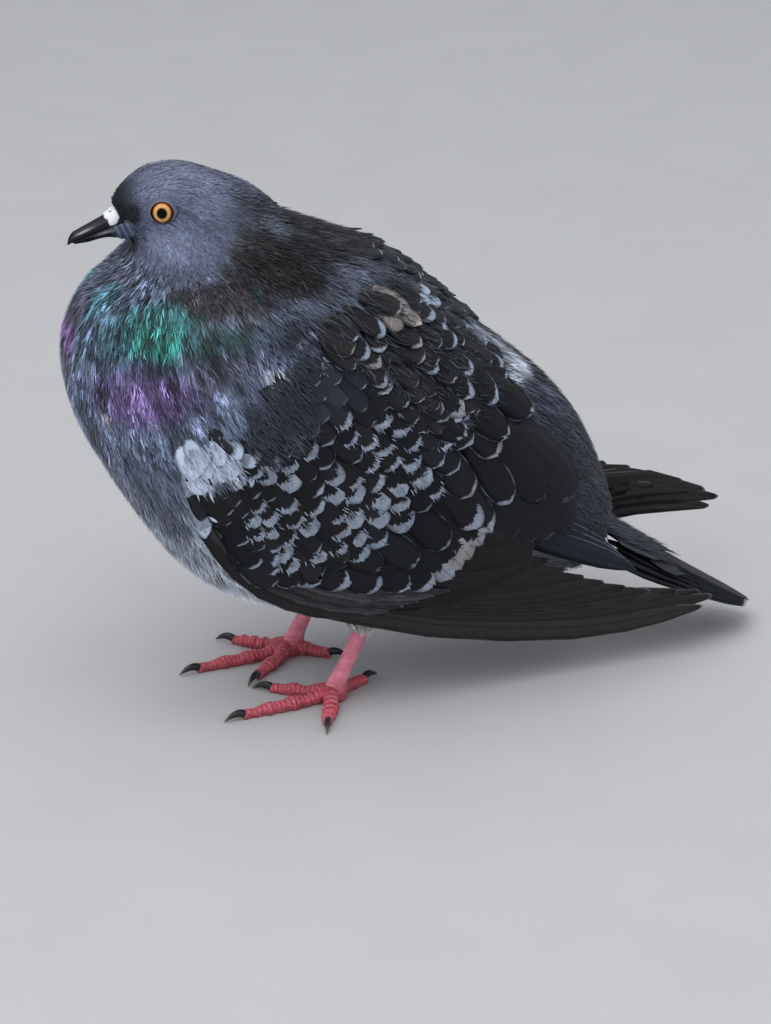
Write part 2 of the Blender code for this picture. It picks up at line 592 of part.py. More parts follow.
def main():
    clear_scene()
    shell = body_shell()
    materials = {"head": "head", "neck": "neck", "trunk": "body", "rump": "body"}
    pieces = {name: body_piece(name, start, end, rings, materials[name])
              for name, start, end, rings in BODY_PARTS}
    bill_half("bill_upper", 1.0, UPPER_BILL_RINGS, True)
    bill_half("bill_lower", LOWER_BILL_SHARE, LOWER_BILL_RINGS, False)
    cere()
    tail()
    for side in (LEFT, RIGHT):
        eye(side, pieces["head"], shell)
        wing(side, shell)
        bare_leg(side)
        thigh(side, shell)
        for name in TOE_TIPS[side]:
            toe(side, name)
    stand_on_origin()


main()
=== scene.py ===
import math
import bpy
import numpy as np
from mathutils import Matrix, Vector
from mathutils.bvhtree import BVHTree
from mathutils.kdtree import KDTree


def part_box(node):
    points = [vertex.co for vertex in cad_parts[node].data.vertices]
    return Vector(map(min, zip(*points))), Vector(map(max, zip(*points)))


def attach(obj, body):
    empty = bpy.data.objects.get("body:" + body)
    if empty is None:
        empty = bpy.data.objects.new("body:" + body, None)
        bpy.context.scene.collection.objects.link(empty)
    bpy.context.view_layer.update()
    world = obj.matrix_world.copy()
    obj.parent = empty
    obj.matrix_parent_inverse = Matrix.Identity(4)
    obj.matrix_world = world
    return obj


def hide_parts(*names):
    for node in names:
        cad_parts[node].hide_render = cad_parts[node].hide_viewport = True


# Feral pigeon, standing fluffed and hunched: the skin, feathers, eyes, bill and feet of the still model.
# Shapes are worked out in the bird's own frame in millimetres: -X is forward, -Y is its left, Z is up,
# and X = 0 is between the feet. mesh_object() turns them into the model's metres.

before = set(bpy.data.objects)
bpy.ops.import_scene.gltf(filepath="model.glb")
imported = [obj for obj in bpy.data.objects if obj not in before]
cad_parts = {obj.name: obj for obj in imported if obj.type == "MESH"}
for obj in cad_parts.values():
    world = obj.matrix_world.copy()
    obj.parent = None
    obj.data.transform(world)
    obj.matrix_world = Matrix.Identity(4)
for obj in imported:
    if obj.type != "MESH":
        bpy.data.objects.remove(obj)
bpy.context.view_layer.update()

MM = 0.001
BILL_TIP_X = -82.0
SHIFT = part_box("bill_upper")[0].x - BILL_TIP_X * MM
LEFT, RIGHT = -1, 1
SIDES = {LEFT: "left", RIGHT: "right"}


# -------- numbers and fields

def unit(v):
    """Vectors scaled to length one."""
    return v / np.maximum(np.linalg.norm(v, axis=-1, keepdims=True), 1e-9)


def dot(a, b):
    """Scalar product of vectors, with its axis kept."""
    return np.sum(a * b, axis=-1, keepdims=True)


def ease(value, start, end):
    """0 before start, 1 after end, and a smooth step between."""
    t = np.clip((value - start) / (end - start), 0, 1)
    return t * t * (3 - 2 * t)


def spline(rows, at):
    """Catmull-Rom curve through rows of numbers, read at places counted in rows."""
    rows = np.asarray(rows, float)
    rows = np.vstack([2 * rows[0] - rows[1], rows, 2 * rows[-1] - rows[-2]])
    at = np.asarray(at, float)
    first = np.clip(at.astype(int), 0, len(rows) - 4)
    f = (at - first)[..., None]
    a, b, c, d = (rows[first + k] for k in range(4))
    return b + 0.5 * f * (c - a + f * (2 * a - 5 * b + 4 * c - d + f * (3 * (b - c) + d - a)))


def lattice(cell, seed):
    """A fixed random number from 0 to 1 for each whole-number cell."""
    cell = cell.astype(np.int64)
    h = (cell[..., 0] * 73856093) ^ (cell[..., 1] * 19349663) ^ (cell[..., 2] * 83492791) ^ (seed * 2654435)
    h = (h ^ (h >> 13)) * 1274126177 & 0x7FFFFFFF
    return ((h ^ (h >> 16)) & 0xFFFF) / 65535.0


def cloud(points, size, seed=0):
    """Smooth noise from -1 to 1: random numbers at the corners of cells of this size, blended between."""
    q = np.asarray(points, float) / size
    base = np.floor(q)
    f = q - base
    f = f * f * (3 - 2 * f)
    total = 0
    for i in (0, 1):
        for j in (0, 1):
            for k in (0, 1):
                weight = ((f[..., 0] if i else 1 - f[..., 0]) * (f[..., 1] if j else 1 - f[..., 1])
                          * (f[..., 2] if k else 1 - f[..., 2]))
                total = total + weight * lattice(base + np.array((i, j, k)), seed)
    return 2 * total - 1


def blend(a, b, share):
    """Colour a where share is 0, b where it is 1."""
    share = np.asarray(share)[..., None]
    return np.asarray(a, float) * (1 - share) + np.asarray(b, float) * share


# -------- the body's surface

# Rings from the face to the tail: back (x, z), belly or throat (x, z), half width
BODY_RINGS = [
    (-65.0, 194.0, -59.3, 180.8, 5.5), (-62.4, 198.6, -59.0, 179.8, 8.4), (-57.0, 203.3, -58.8, 179.2, 11.4),
    (-49.0, 206.6, -58.9, 178.6, 13.8), (-37.0, 206.0, -59.3, 177.6, 16.2),
    (-21.5, 198.8, -61.0, 175.0, 20.0),
    (-4.5, 185.5, -68.5, 168.5, 27.5), (15.0, 176.0, -79.5, 158.5, 37.5), (35.0, 166.5, -86.0, 140.5, 45.5),
    (53.5, 150.0, -82.0, 114.0, 49.5), (70.0, 133.5, -65.5, 82.0, 50.5), (84.0, 121.0, -37.0, 47.0, 49.5),
    (97.0, 107.5, 6.0, 32.0, 44.5), (107.0, 92.0, 48.0, 32.5, 36.0), (113.5, 76.0, 77.0, 34.5, 27.0),
    (117.5, 63.0, 95.0, 34.5, 20.0), (118.5, 55.0, 105.0, 33.5, 15.0),
]
LAST_RING = len(BODY_RINGS) - 1
ROUNDNESS = 0.93


def body_point(ring, turn):
    """A ring is a full ellipse between back and belly; turn is 0 at the back and pi at the belly."""
    row = spline(BODY_RINGS, ring)
    back, belly, half = row[..., 0:2], row[..., 2:4], row[..., 4]
    up = np.sign(np.cos(turn)) * np.abs(np.cos(turn)) ** ROUNDNESS
    out = np.sign(np.sin(turn)) * np.abs(np.sin(turn)) ** ROUNDNESS
    middle = (back + belly) / 2 + (back - belly) / 2 * up[..., None]
    return np.stack([middle[..., 0], -half * out, middle[..., 1]], axis=-1)


class Surface:
    """A surface of two parameters, with its slopes, its outward normal, and walks of a real length on it."""

    def __init__(self, place, steps, facing):
        self.place, self.steps, self.facing = place, steps, facing

    def frame(self, p):
        """Point, slope along each parameter, and outward normal, by differences."""
        slopes = []
        for axis in (0, 1):
            d = np.zeros(2)
            d[axis] = self.steps[axis]
            slopes.append((self.place(p + d) - self.place(p - d)) / (2 * self.steps[axis]))
        normal = unit(np.cross(slopes[0], slopes[1])) * self.facing
        return self.place(p), slopes[0], slopes[1], normal

    def walk(self, p, first, second, move):
        """Parameters after a small move in space: least squares on the two slopes."""
        aa, ab, bb = dot(first, first), dot(first, second), dot(second, second)
        ma, mb = dot(first, move), dot(second, move)
        aa, bb = aa + 0.02, bb + 0.02
        det = aa * bb - ab * ab
        return p + np.concatenate([(ma * bb - mb * ab) / det, (mb * aa - ma * ab) / det], axis=-1)


def body_side(side):
    """One half of the body; its turns run from 0 at the back to pi at the belly, on either side."""
    def place(p):
        return body_point(np.clip(p[..., 0], 0.0, LAST_RING), -side * p[..., 1])
    return Surface(place, (0.03, 0.02), side)


BODY = {side: body_side(side) for side in SIDES}


def all_round(count):
    """Turns evenly spaced round a circle."""
    return np.linspace(0, 2 * math.pi, count, endpoint=False)


def tube_faces(rings, sides, round_again=False):
    """Quads between successive closed rings of points, and from the last ring to the first if asked."""
    i, j = np.meshgrid(np.arange(rings - 1 + round_again), np.arange(sides), indexing="ij")
    k, m = (j + 1) % sides, (i + 1) % rings
    return np.stack([i * sides + j, i * sides + k, m * sides + k, m * sides + j], -1).reshape(-1, 4)


# -------- the folded wing's surface

WING_GAP = 1.0
WING_HALF_SPAN, TIP_HALF_SPAN = 47.0, 31.0
WALL = 1.4               # from the wing's inner face to the roots of its feathers
GRID = 2.0
GRID_LOW = np.array((-70.0, 10.0))
GRID_COUNT = (131, 96)


def side_table():
    """Half width of the body at each knot of a grid over its side view, by rays cast at its surface."""
    rings, sides = 120, 72
    grid = body_point(*np.meshgrid(np.linspace(0, LAST_RING, rings), all_round(sides), indexing="ij"))
    tree = BVHTree.FromPolygons(grid.reshape(-1, 3).tolist(), tube_faces(rings, sides).tolist())
    table = np.zeros(GRID_COUNT)
    for i in range(GRID_COUNT[0]):
        for j in range(GRID_COUNT[1]):
            x, z = GRID_LOW + GRID * np.array((i, j))
            hit = tree.ray_cast(Vector((x, -200, z)), Vector((0, 1, 0)))
            table[i, j] = max(0.0, -hit[0].y) if hit[0] else 0.0
    return table


def wing_table():
    """Half width at the wing's feathers: outside the body, and no less than the wing's own half span."""
    x = (GRID_LOW[0] + GRID * np.arange(GRID_COUNT[0]))[:, None]
    z = (GRID_LOW[1] + GRID * np.arange(GRID_COUNT[1]))[None, :]
    span = WING_HALF_SPAN + (TIP_HALF_SPAN - WING_HALF_SPAN) * ease(x, 10, 128)
    span = span * (1 - 0.75 * ease(z, 88, 150) - 0.06 * ease(-z, -60, -20))
    half = 2.5 * np.logaddexp(span / 2.5, (side_table() + WING_GAP) / 2.5) + WALL
    for _ in range(2):
        padded = np.pad(half, 1, mode="edge")
        half = (2 * half + padded[2:, 1:-1] + padded[:-2, 1:-1] + padded[1:-1, 2:] + padded[1:-1, :-2]) / 6
    return half


WING_TABLE = wing_table()


def wing_half(x, z):
    """Half width read from the table, blended between its knots."""
    at = (np.stack([x, z], -1) - GRID_LOW) / GRID
    at = np.clip(at, 0, np.array(GRID_COUNT) - 1.001)
    cell = at.astype(int)
    fx, fz = np.moveaxis(at - cell, -1, 0)
    i, j = cell[..., 0], cell[..., 1]
    return ((WING_TABLE[i, j] * (1 - fx) + WING_TABLE[i + 1, j] * fx) * (1 - fz)
            + (WING_TABLE[i, j + 1] * (1 - fx) + WING_TABLE[i + 1, j + 1] * fx) * fz)


def far_wing(x, z):
    """Side view of the right wing: turned up a little about the shoulder, slid back, and bowed at its tip."""
    low = 1 - ease(z, 60, 92)
    turn = math.radians(4.0)
    x, z = x + 10.0, z - 95.0
    far_x = x * math.cos(turn) - z * math.sin(turn) - 10.0
    far_z = x * math.sin(turn) + z * math.cos(turn) + 95.0
    far_x = far_x + (8.0 + 11.0 * low) * ease(far_x, 10, 130)
    bow = np.sin(math.pi * np.clip((far_x - 75) / 97, 0, 1))
    return far_x, far_z + 11.5 * bow * low


def wing_side(side):
    """One folded wing; its two parameters are x and z in the side view of the left one."""
    def place(p):
        x, z = p[..., 0], p[..., 1]
        if side == RIGHT:
            x, z = far_wing(x, z)
        return np.stack([x, side * wing_half(x, z), z], axis=-1)
    return Surface(place, (0.8, 0.8), -side)


WING = {side: wing_side(side) for side in SIDES}


# -------- the tail's surface

TAIL_BASE, TAIL_TIP = np.array((113.0, 45.0)), np.array((177.0, 7.0))
TAIL_RUN = (TAIL_TIP - TAIL_BASE) / np.linalg.norm(TAIL_TIP - TAIL_BASE)


def tail_place(p):
    """The tail's top, a little arched, over millimetres back from its base and millimetres across."""
    back, across = p[..., 0], p[..., 1]
    share = back / 74.4
    wall = 15.0 + (1.4 - 15.0) * np.clip(share, 0, 1) ** 0.7
    drop = wall / 2 - 3.0 * (across / 17.0) ** 2 * (1 - 0.5 * share)
    spot = TAIL_BASE + TAIL_RUN * back[..., None] + np.array((-TAIL_RUN[1], TAIL_RUN[0])) * drop[..., None]
    return np.stack([spot[..., 0], across, spot[..., 1]], axis=-1)


TAIL = Surface(tail_place, (0.5, 0.5), 1)


# -------- materials

class Value:
    """A number worked out by a material; arithmetic on it adds Math nodes."""

    def __init__(self, finish, socket):
        self.finish, self.socket = finish, socket

    def math(self, operation, *values, clamp=False):
        settings = {"operation": operation, "use_clamp": clamp}
        return Value(self.finish, self.finish.node("Math", settings, dict(enumerate(values))).outputs[0])

    def __add__(self, other):
        return self.math("ADD", self, other)

    def __sub__(self, other):
        return self.math("SUBTRACT", self, other)

    def __rsub__(self, other):
        return self.math("SUBTRACT", other, self)

    def __mul__(self, other):
        return self.math("MULTIPLY", self, other)

    __radd__, __rmul__ = __add__, __mul__

    def __abs__(self):
        return self.math("ABSOLUTE", self)

    def least(self, other):
        """The smaller of two."""
        return self.math("MINIMUM", self, other)

    def most(self, other):
        """The larger of two."""
        return self.math("MAXIMUM", self, other)

    def clamp(self):
        """Held between 0 and 1."""
        return self.math("ADD", self, 0.0, clamp=True)

    def ease(self, start, end):
        """0 before start, 1 after end, and a smooth step between."""
        sockets = {"Value": self, "From Min": start, "From Max": end}
        made = self.finish.node("MapRange", {"interpolation_type": "SMOOTHSTEP"}, sockets)
        return Value(self.finish, made.outputs[0])


class Finish:
    """A material: its constants are set on the shader at once, and its fields are fed afterwards."""

    def __init__(self, name, slot, **constants):
        self.material = bpy.data.materials.new(name)
        self.material.use_nodes = True
        self.tree, self.slot = self.material.node_tree, slot
        self.shader = self.tree.nodes["Principled BSDF"]
        for socket, value in constants.items():
            self.feed(self.shader.inputs[socket.replace("_", " ")], value)

    def feed(self, socket, value):
        """Link a value or a socket to an input, or set a constant on it."""
        if isinstance(value, Value):
            self.tree.links.new(value.socket, socket)
        elif isinstance(value, bpy.types.NodeSocket):
            self.tree.links.new(value, socket)
        elif hasattr(value, "__len__") and len(value) == 3 and socket.type == "RGBA":
            socket.default_value = (*value, 1.0)
        else:
            socket.default_value = value

    def node(self, kind, settings=None, inputs=None):
        """Any node: its type, its settings, then the values or links of its sockets."""
        made = self.tree.nodes.new("ShaderNode" + kind)
        for key, value in (settings or {}).items():
            if key == "stops":
                for k, (place, colour) in enumerate(value):
                    stop = made.color_ramp.elements[k] if k < 2 else made.color_ramp.elements.new(place)
                    stop.position, stop.color = place, (*colour, 1.0)
            else:
                setattr(made, key, value)
        for key, value in (inputs or {}).items():
            self.feed(made.inputs[key], value)
        return made

    def attribute(self, name):
        """A colour attribute's colour, and its four numbers."""
        made = self.node("Attribute", {"attribute_name": name})
        parts = self.node("SeparateColor", {}, {0: made.outputs["Color"]})
        return made.outputs["Color"], [Value(self, p) for p in (*parts.outputs[:3], made.outputs["Alpha"])]

    def uv(self, name):
        """The two numbers of a UV map."""
        made = self.node("UVMap", {"uv_map": name})
        parts = self.node("SeparateXYZ", {}, {0: made.outputs[0]})
        return Value(self, parts.outputs[0]), Value(self, parts.outputs[1])

    def place(self):
        """Object coordinates, in millimetres."""
        sockets = {0: self.node("TexCoord").outputs["Object"], "Scale": 1 / MM}
        return self.node("VectorMath", {"operation": "SCALE"}, sockets).outputs[0]

    def vector(self, x, y, z):
        return self.node("CombineXYZ", {}, {0: x, 1: y, 2: z}).outputs[0]

    def noise(self, at, scale, detail=2.0):
        """Soft noise, about 0.5 in the middle."""
        sockets = {"Vector": at, "Scale": scale, "Detail": detail}
        return Value(self, self.node("TexNoise", {}, sockets).outputs[0])

    def cells(self, at, scale, feature="DISTANCE_TO_EDGE"):
        made = self.node("TexVoronoi", {"feature": feature}, {"Vector": at, "Scale": scale})
        return Value(self, made.outputs[0])

    def mix(self, share, a, b):
        """Colour a where share is 0, b where it is 1."""
        return self.node("Mix", {"data_type": "RGBA"}, {0: share, 6: a, 7: b}).outputs[2]

    def shade(self, colour, amount):
        """A colour made lighter or darker by a number."""
        grey = self.vector(amount, amount, amount)
        return self.node("VectorMath", {"operation": "MULTIPLY"}, {0: colour, 1: grey}).outputs[0]

    def bump(self, height, distance, strength=1.0):
        """Raise the surface by a height of 0 to 1 times a distance in millimetres."""
        sockets = {"Height": height, "Distance": distance * MM, "Strength": strength}
        self.feed(self.shader.inputs["Normal"], self.node("Bump", {}, sockets).outputs[0])

    def grained(self, scale, swing, low, depth, strength):
        """The tint broken by a fine grain that also raises it; the grain's noise is returned."""
        tint, _ = self.attribute("tint")
        grain = self.noise(self.place(), scale, 3.0)
        self.wear(Base_Color=self.shade(tint, grain * swing + low))
        self.bump(grain, depth, strength)
        return grain

    def wear(self, **sockets):
        """Feed inputs of the shader, named with _ for each space."""
        for key, value in sockets.items():
            self.feed(self.shader.inputs[key.replace("_", " ")], value)
        return self


# -------- meshes

def mesh_object(name, points, quads, finish, caps=(), colours=(), uvs=(), replaces=()):
    """One object from arrays of points in the bird's millimetres, quads, and end caps of any one size.

    colours and uvs are {name: array per point}; caps is an array of longer faces.
    """
    mesh = bpy.data.meshes.new(name)
    points = np.asarray(points, float).reshape(-1, 3) * MM + (SHIFT, 0, 0)
    mesh.vertices.add(len(points))
    mesh.vertices.foreach_set("co", points.astype(np.float32).ravel())
    faces = [np.asarray(f, np.int32) for f in (quads, caps) if len(f)]
    sizes = np.concatenate([np.full(len(f), f.shape[1]) for f in faces])
    corners = np.concatenate([f.ravel() for f in faces])
    mesh.loops.add(len(corners))
    mesh.loops.foreach_set("vertex_index", corners)
    mesh.polygons.add(len(sizes))
    mesh.polygons.foreach_set("loop_start", np.concatenate([[0], np.cumsum(sizes)[:-1]]).astype(np.int32))
    mesh.update(calc_edges=True)
    mesh.polygons.foreach_set("use_smooth", np.full(len(sizes), True))
    for key, value in dict(colours).items():
        layer = mesh.color_attributes.new(key, "FLOAT_COLOR", "POINT")
        value = np.asarray(value, np.float32).reshape(len(points), -1)
        if value.shape[1] == 3:
            value = np.hstack([value, np.ones((len(value), 1), np.float32)])
        layer.data.foreach_set("color", value.ravel())
    for key, value in dict(uvs).items():
        layer = mesh.uv_layers.new(name=key)
        layer.data.foreach_set("uv", np.asarray(value, np.float32).reshape(-1, 2)[corners].ravel())
    mesh.materials.append(finish.material)
    item = bpy.data.objects.new(name, mesh)
    bpy.context.scene.collection.objects.link(item)
    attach(item, "root")
    if replaces:
        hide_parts(*replaces)
    return item


def turned_over(faces):
    """The same faces seen from behind; a bent quad keeps the diagonal that it folds along."""
    return np.roll(faces[:, ::-1], 1, axis=1)


def outward(points, faces):
    """The faces of a closed shape, turned over if the volume they enclose comes out negative."""
    corners = points.reshape(-1, 3)[faces]
    area = np.cross(corners[:, 2] - corners[:, 0], corners[:, -1] - corners[:, 1])
    volume = np.sum((corners.mean(1) - points.reshape(-1, 3).mean(0)) * area)
    return faces if volume > 0 else turned_over(faces)


def closed_tubes(name, grids, tints, finish, rings=(), replaces=()):
    """One object of tubes, each a grid of closed rings of points; fans from a middle point close its ends.

    tints and rings are grids of colours and of places in a material, one for each tube.
    """
    quads, caps, start = [], [], 0
    for grid in grids:
        count, sides = grid.shape[:2]
        k = np.arange(sides)
        ends = [np.stack([np.roll(k, -1), k, 0 * k + count * sides], -1),
                np.stack([k, np.roll(k, -1), 0 * k + sides + 1], -1) + (count - 1) * sides]
        faces = tube_faces(count, sides)
        if outward(grid, faces)[0, 1] != faces[0, 1]:
            faces, ends = turned_over(faces), [turned_over(end) for end in ends]
        quads.append(faces + start)
        caps += [end + start for end in ends]
        start += count * sides + 2

    def closed(grids):
        rows = []
        for grid in grids:
            grid = np.asarray(grid, float)
            rows += [grid.reshape(-1, grid.shape[-1]), grid[:1].mean(1), grid[-1:].mean(1)]
        return np.concatenate(rows)
    return mesh_object(name, closed(grids), np.concatenate(quads), finish, caps=np.concatenate(caps),
                       colours={"tint": closed(tints)} if tints else {},
                       uvs={"rings": closed(rings)} if rings else {}, replaces=replaces)


def at(look, p):
    """A look of the feathers whose roots are p: a number, or a function of the surface's two parameters."""
    return look(*p.T) if callable(look) else np.full(len(p), float(look))


SCATTER_CELLS = (60, 60)
CROWDING, SPARSE = 3.2, 0.8      # roots drawn for each one wanted: to be thinned, and left as drawn


def scatter(surface, low, high, spacing, seed, keep=None, even=True):
    """Roots spread over a patch of a surface, in proportion to its area over the spacing squared.

    Even ones are drawn too thickly and thinned in random order until no two are nearer than the spacing.
    """
    rng = np.random.default_rng(seed)
    cell = (np.asarray(high, float) - low) / SCATTER_CELLS
    i, j = np.meshgrid(*(np.arange(count) for count in SCATTER_CELLS), indexing="ij")
    corner = np.stack([i, j], -1).reshape(-1, 2) * cell + low
    _, first, second, _ = surface.frame(corner + cell / 2)
    area = np.linalg.norm(np.cross(first, second), axis=-1) * cell[0] * cell[1]
    weight = area / at(spacing, corner + cell / 2) ** 2
    share = CROWDING if even else SPARSE
    drawn = rng.choice(len(corner), int(share * weight.sum()) + 4, p=weight / weight.sum())
    p = corner[drawn] + rng.random((len(drawn), 2)) * cell
    if keep is not None:
        p = p[keep(*p.T)]
    if not even:
        return p
    points = surface.place(p)
    reach = at(spacing, p)
    tree = KDTree(len(p))
    for k, point in enumerate(points):
        tree.insert(point, k)
    tree.balance()
    alive = np.ones(len(p), bool)
    for k in range(len(p)):
        if alive[k]:
            for _, other, _ in tree.find_range(points[k], float(reach[k])):
                if other > k:
                    alive[other] = False
    return p[alive]


class Cut:
    """The cut of a vane: its stations from root to tip, its half width at each, and its tip's finish."""

    def __init__(self, stations, halves, columns=5, rounding=0.1, ragged=0.0, wall=0.0):
        self.v, self.f = np.array(stations, float), np.array(halves, float)
        self.rounding, self.ragged, self.wall = rounding, ragged, wall
        across = np.linspace(-1, 1, columns)
        self.u = across if not wall else np.concatenate([across, across[-2:0:-1]])
        self.under = np.concatenate([np.zeros(columns), np.ones(len(self.u) - columns)])
        n, m = len(self.v), len(self.u)
        i, j = np.meshgrid(np.arange(n - 1), np.arange(m if wall else m - 1), indexing="ij")
        k = (j + 1) % m
        self.quads = np.stack([i * m + j, i * m + k, (i + 1) * m + k, (i + 1) * m + j], -1).reshape(-1, 4)
        ends = np.arange(m)
        self.caps = np.stack([ends[::-1], (n - 1) * m + ends]) if wall else np.zeros((0, m), int)


class Vanes:
    """Vanes laid on a surface.

    Each middle line is walked over the surface from its root; the vane spreads across it by its cut's half
    width and stands off by a height that rises from low at the root to high at the tip.
    """

    def __init__(self, surface, cut, roots, angle, length, width, low, high, rise=1.0, radius=30.0,
                 roll=0.0, bend=0.0, curl=0.0, path=None, jitter=None, *, rng):
        """jitter is how widely roll and bend vary, in degrees, in place of fixed ones."""
        roots = np.asarray(roots, float) if path is None else path(0.0)
        n = len(roots)
        roll, bend = (rng.normal(0, spread, n) for spread in jitter) if jitter else (roll, bend)
        looks = (angle, length, width, low, high, roll, bend, curl)
        angle, length, width, low, high, roll, bend, curl = (
            np.broadcast_to(np.asarray(look, float), n)[:, None] for look in looks)
        self.roots, self.cut, self.n, self.rand = roots, cut, n, rng.random(n)
        self.length = length[:, 0]
        self.turned = surface.facing > 0          # whether its cut's faces would point into the surface
        p = np.array(roots, float)
        here, first, second, normal = surface.frame(p)
        e1 = unit(first)
        e2 = unit(second - e1 * dot(second, e1))
        turn = np.radians(angle)
        run = e1 * np.cos(turn) + e2 * np.sin(turn)
        wave = rng.normal(0, 1, (n, len(cut.u))) * cut.ragged
        grid, xs, ys, places = [], [], [], []
        last = 0.0
        for v, f in zip(cut.v, cut.f):
            if path is not None:
                p = path(v)
                here, first, second, normal = surface.frame(p)
                run = unit(surface.place(path(v + 0.02)) - surface.place(path(v - 0.02)))
            elif v > last:
                side = -surface.facing * np.cross(run, normal)
                run = unit(run + side * np.radians(bend) * (v - last))
                p = surface.walk(p, first, second, run * length * (v - last))
                here, first, second, normal = surface.frame(p)
                run = unit(run - normal * dot(run, normal))
                last = v
            side = -surface.facing * np.cross(run, normal)
            x = cut.u * f * width / 2
            back = length * (cut.rounding * cut.u ** 2 * ease(v, 0.45, 1.0) + wave * ease(v, 0.75, 1.0))
            height = (low + (high - low) * v ** rise + curl * v ** 3 - x ** 2 / (2 * radius)
                      + x * np.tan(np.radians(roll)) - cut.under * cut.wall * (1 - v ** 4 * 0.5))
            grid.append(here[:, None] + side[:, None] * x[..., None] + normal[:, None] * height[..., None]
                        - run[:, None] * back[..., None])
            xs.append(x)
            ys.append(v * length - back)
            places.append(p)
        self.points = np.stack(grid, 1)
        self.x, self.y = np.stack(xs, 1), np.stack(ys, 1)
        self.u = np.broadcast_to(cut.u, self.x.shape)
        self.v = np.broadcast_to(cut.v[None, :, None], self.x.shape)
        self.places = np.broadcast_to(np.stack(places, 1)[:, :, None], (*self.x.shape, 2))


CELL_MARGIN = 0.08


class Coat:
    """Vanes gathered into one mesh."""

    def __init__(self, name, finish, replaces=()):
        self.name, self.finish, self.replaces = name, finish, replaces
        self.points, self.quads, self.caps, self.count = [], [], [], 0
        self.tint, self.mark, self.vane, self.barbs, self.bake = [], [], [], [], []

    def add(self, vanes, tint, patch, patch_size=0.003, mark=(0, 0, 0, 0)):
        """tint is a colour, or a colour and a fourth number, per point; mark is four numbers per vane.

        patch is the corner of the square that each vane bakes in, and patch_size that square's side.
        """
        shape = vanes.x.shape
        start = self.count + np.arange(vanes.n)[:, None, None] * shape[1] * shape[2]
        self.points.append(vanes.points.reshape(-1, 3))
        for faces, gathered in ((vanes.cut.quads, self.quads), (vanes.cut.caps, self.caps)):
            faces = turned_over(faces) if vanes.turned else faces
            gathered.append((start + faces).reshape(-1, faces.shape[1]))
        tint = np.asarray(tint, float)
        if tint.shape[-1] == 3:
            tint = np.concatenate([tint, np.ones((*tint.shape[:-1], 1))], -1)
        mark = np.broadcast_to(np.asarray(mark, float), (vanes.n, 4))[:, None, None]
        rand, size = (np.broadcast_to(a[:, None, None], shape) for a in (vanes.rand, vanes.length / 100))
        self.tint.append(np.broadcast_to(tint, (*shape, 4)).reshape(-1, 4))
        self.mark.append(np.broadcast_to(mark, (*shape, 4)).reshape(-1, 4))
        self.vane.append(np.stack([vanes.u * 0.5 + 0.5, vanes.v, rand, size], -1).reshape(-1, 4))
        self.barbs.append(np.stack([vanes.x / 10, vanes.y / 10], -1).reshape(-1, 2))
        within = np.stack([vanes.u * 0.5 + 0.5, vanes.v], -1) * patch_size
        self.bake.append((np.asarray(patch)[:, None, None] + within).reshape(-1, 2))
        self.count += vanes.n * shape[1] * shape[2]

    def add_cells(self, vanes, tone, warm, mark, first, columns):
        """The same for large patterned vanes, each baked in a cell of its own, counted in rows of columns.

        tone, warm and each of the four marks are one for all, or one for each vane.
        """
        warm, *mark = (np.broadcast_to(np.asarray(a, float), vanes.n)[:, None] for a in (warm, *mark))
        tint = np.concatenate([np.broadcast_to(tone, (vanes.n, 3)), warm], -1)
        k = first + np.arange(vanes.n)
        corner = (np.stack([k % columns, k // columns], -1) + CELL_MARGIN) / columns
        size = (1 - 2 * CELL_MARGIN) / columns
        self.add(vanes, tint[:, None, None], corner, size, np.concatenate(mark, -1))

    def make(self):
        caps = [faces for faces in self.caps if len(faces)]
        return mesh_object(self.name, np.concatenate(self.points), np.concatenate(self.quads), self.finish,
                           caps=np.concatenate(caps) if caps else (),
                           colours={"tint": np.concatenate(self.tint), "mark": np.concatenate(self.mark),
                                    "vane": np.concatenate(self.vane)},
                           uvs={"barbs": np.concatenate(self.barbs), "OFBake": np.concatenate(self.bake)},
                           replaces=self.replaces)


# -------- markings of the body

# Edge of the grey hood: ring at each turn in degrees from the back
HOOD = ((0, 5.75), (43, 5.8), (62, 5.9), (74, 6.0), (81, 6.3), (90, 6.55), (99, 6.62), (108, 6.5),
        (116, 6.15), (128, 5.7), (146, 4.95), (160, 4.3), (180, 3.6))


def hood_edge(degrees):
    """Ring where the hood ends."""
    return np.interp(degrees, *zip(*HOOD))


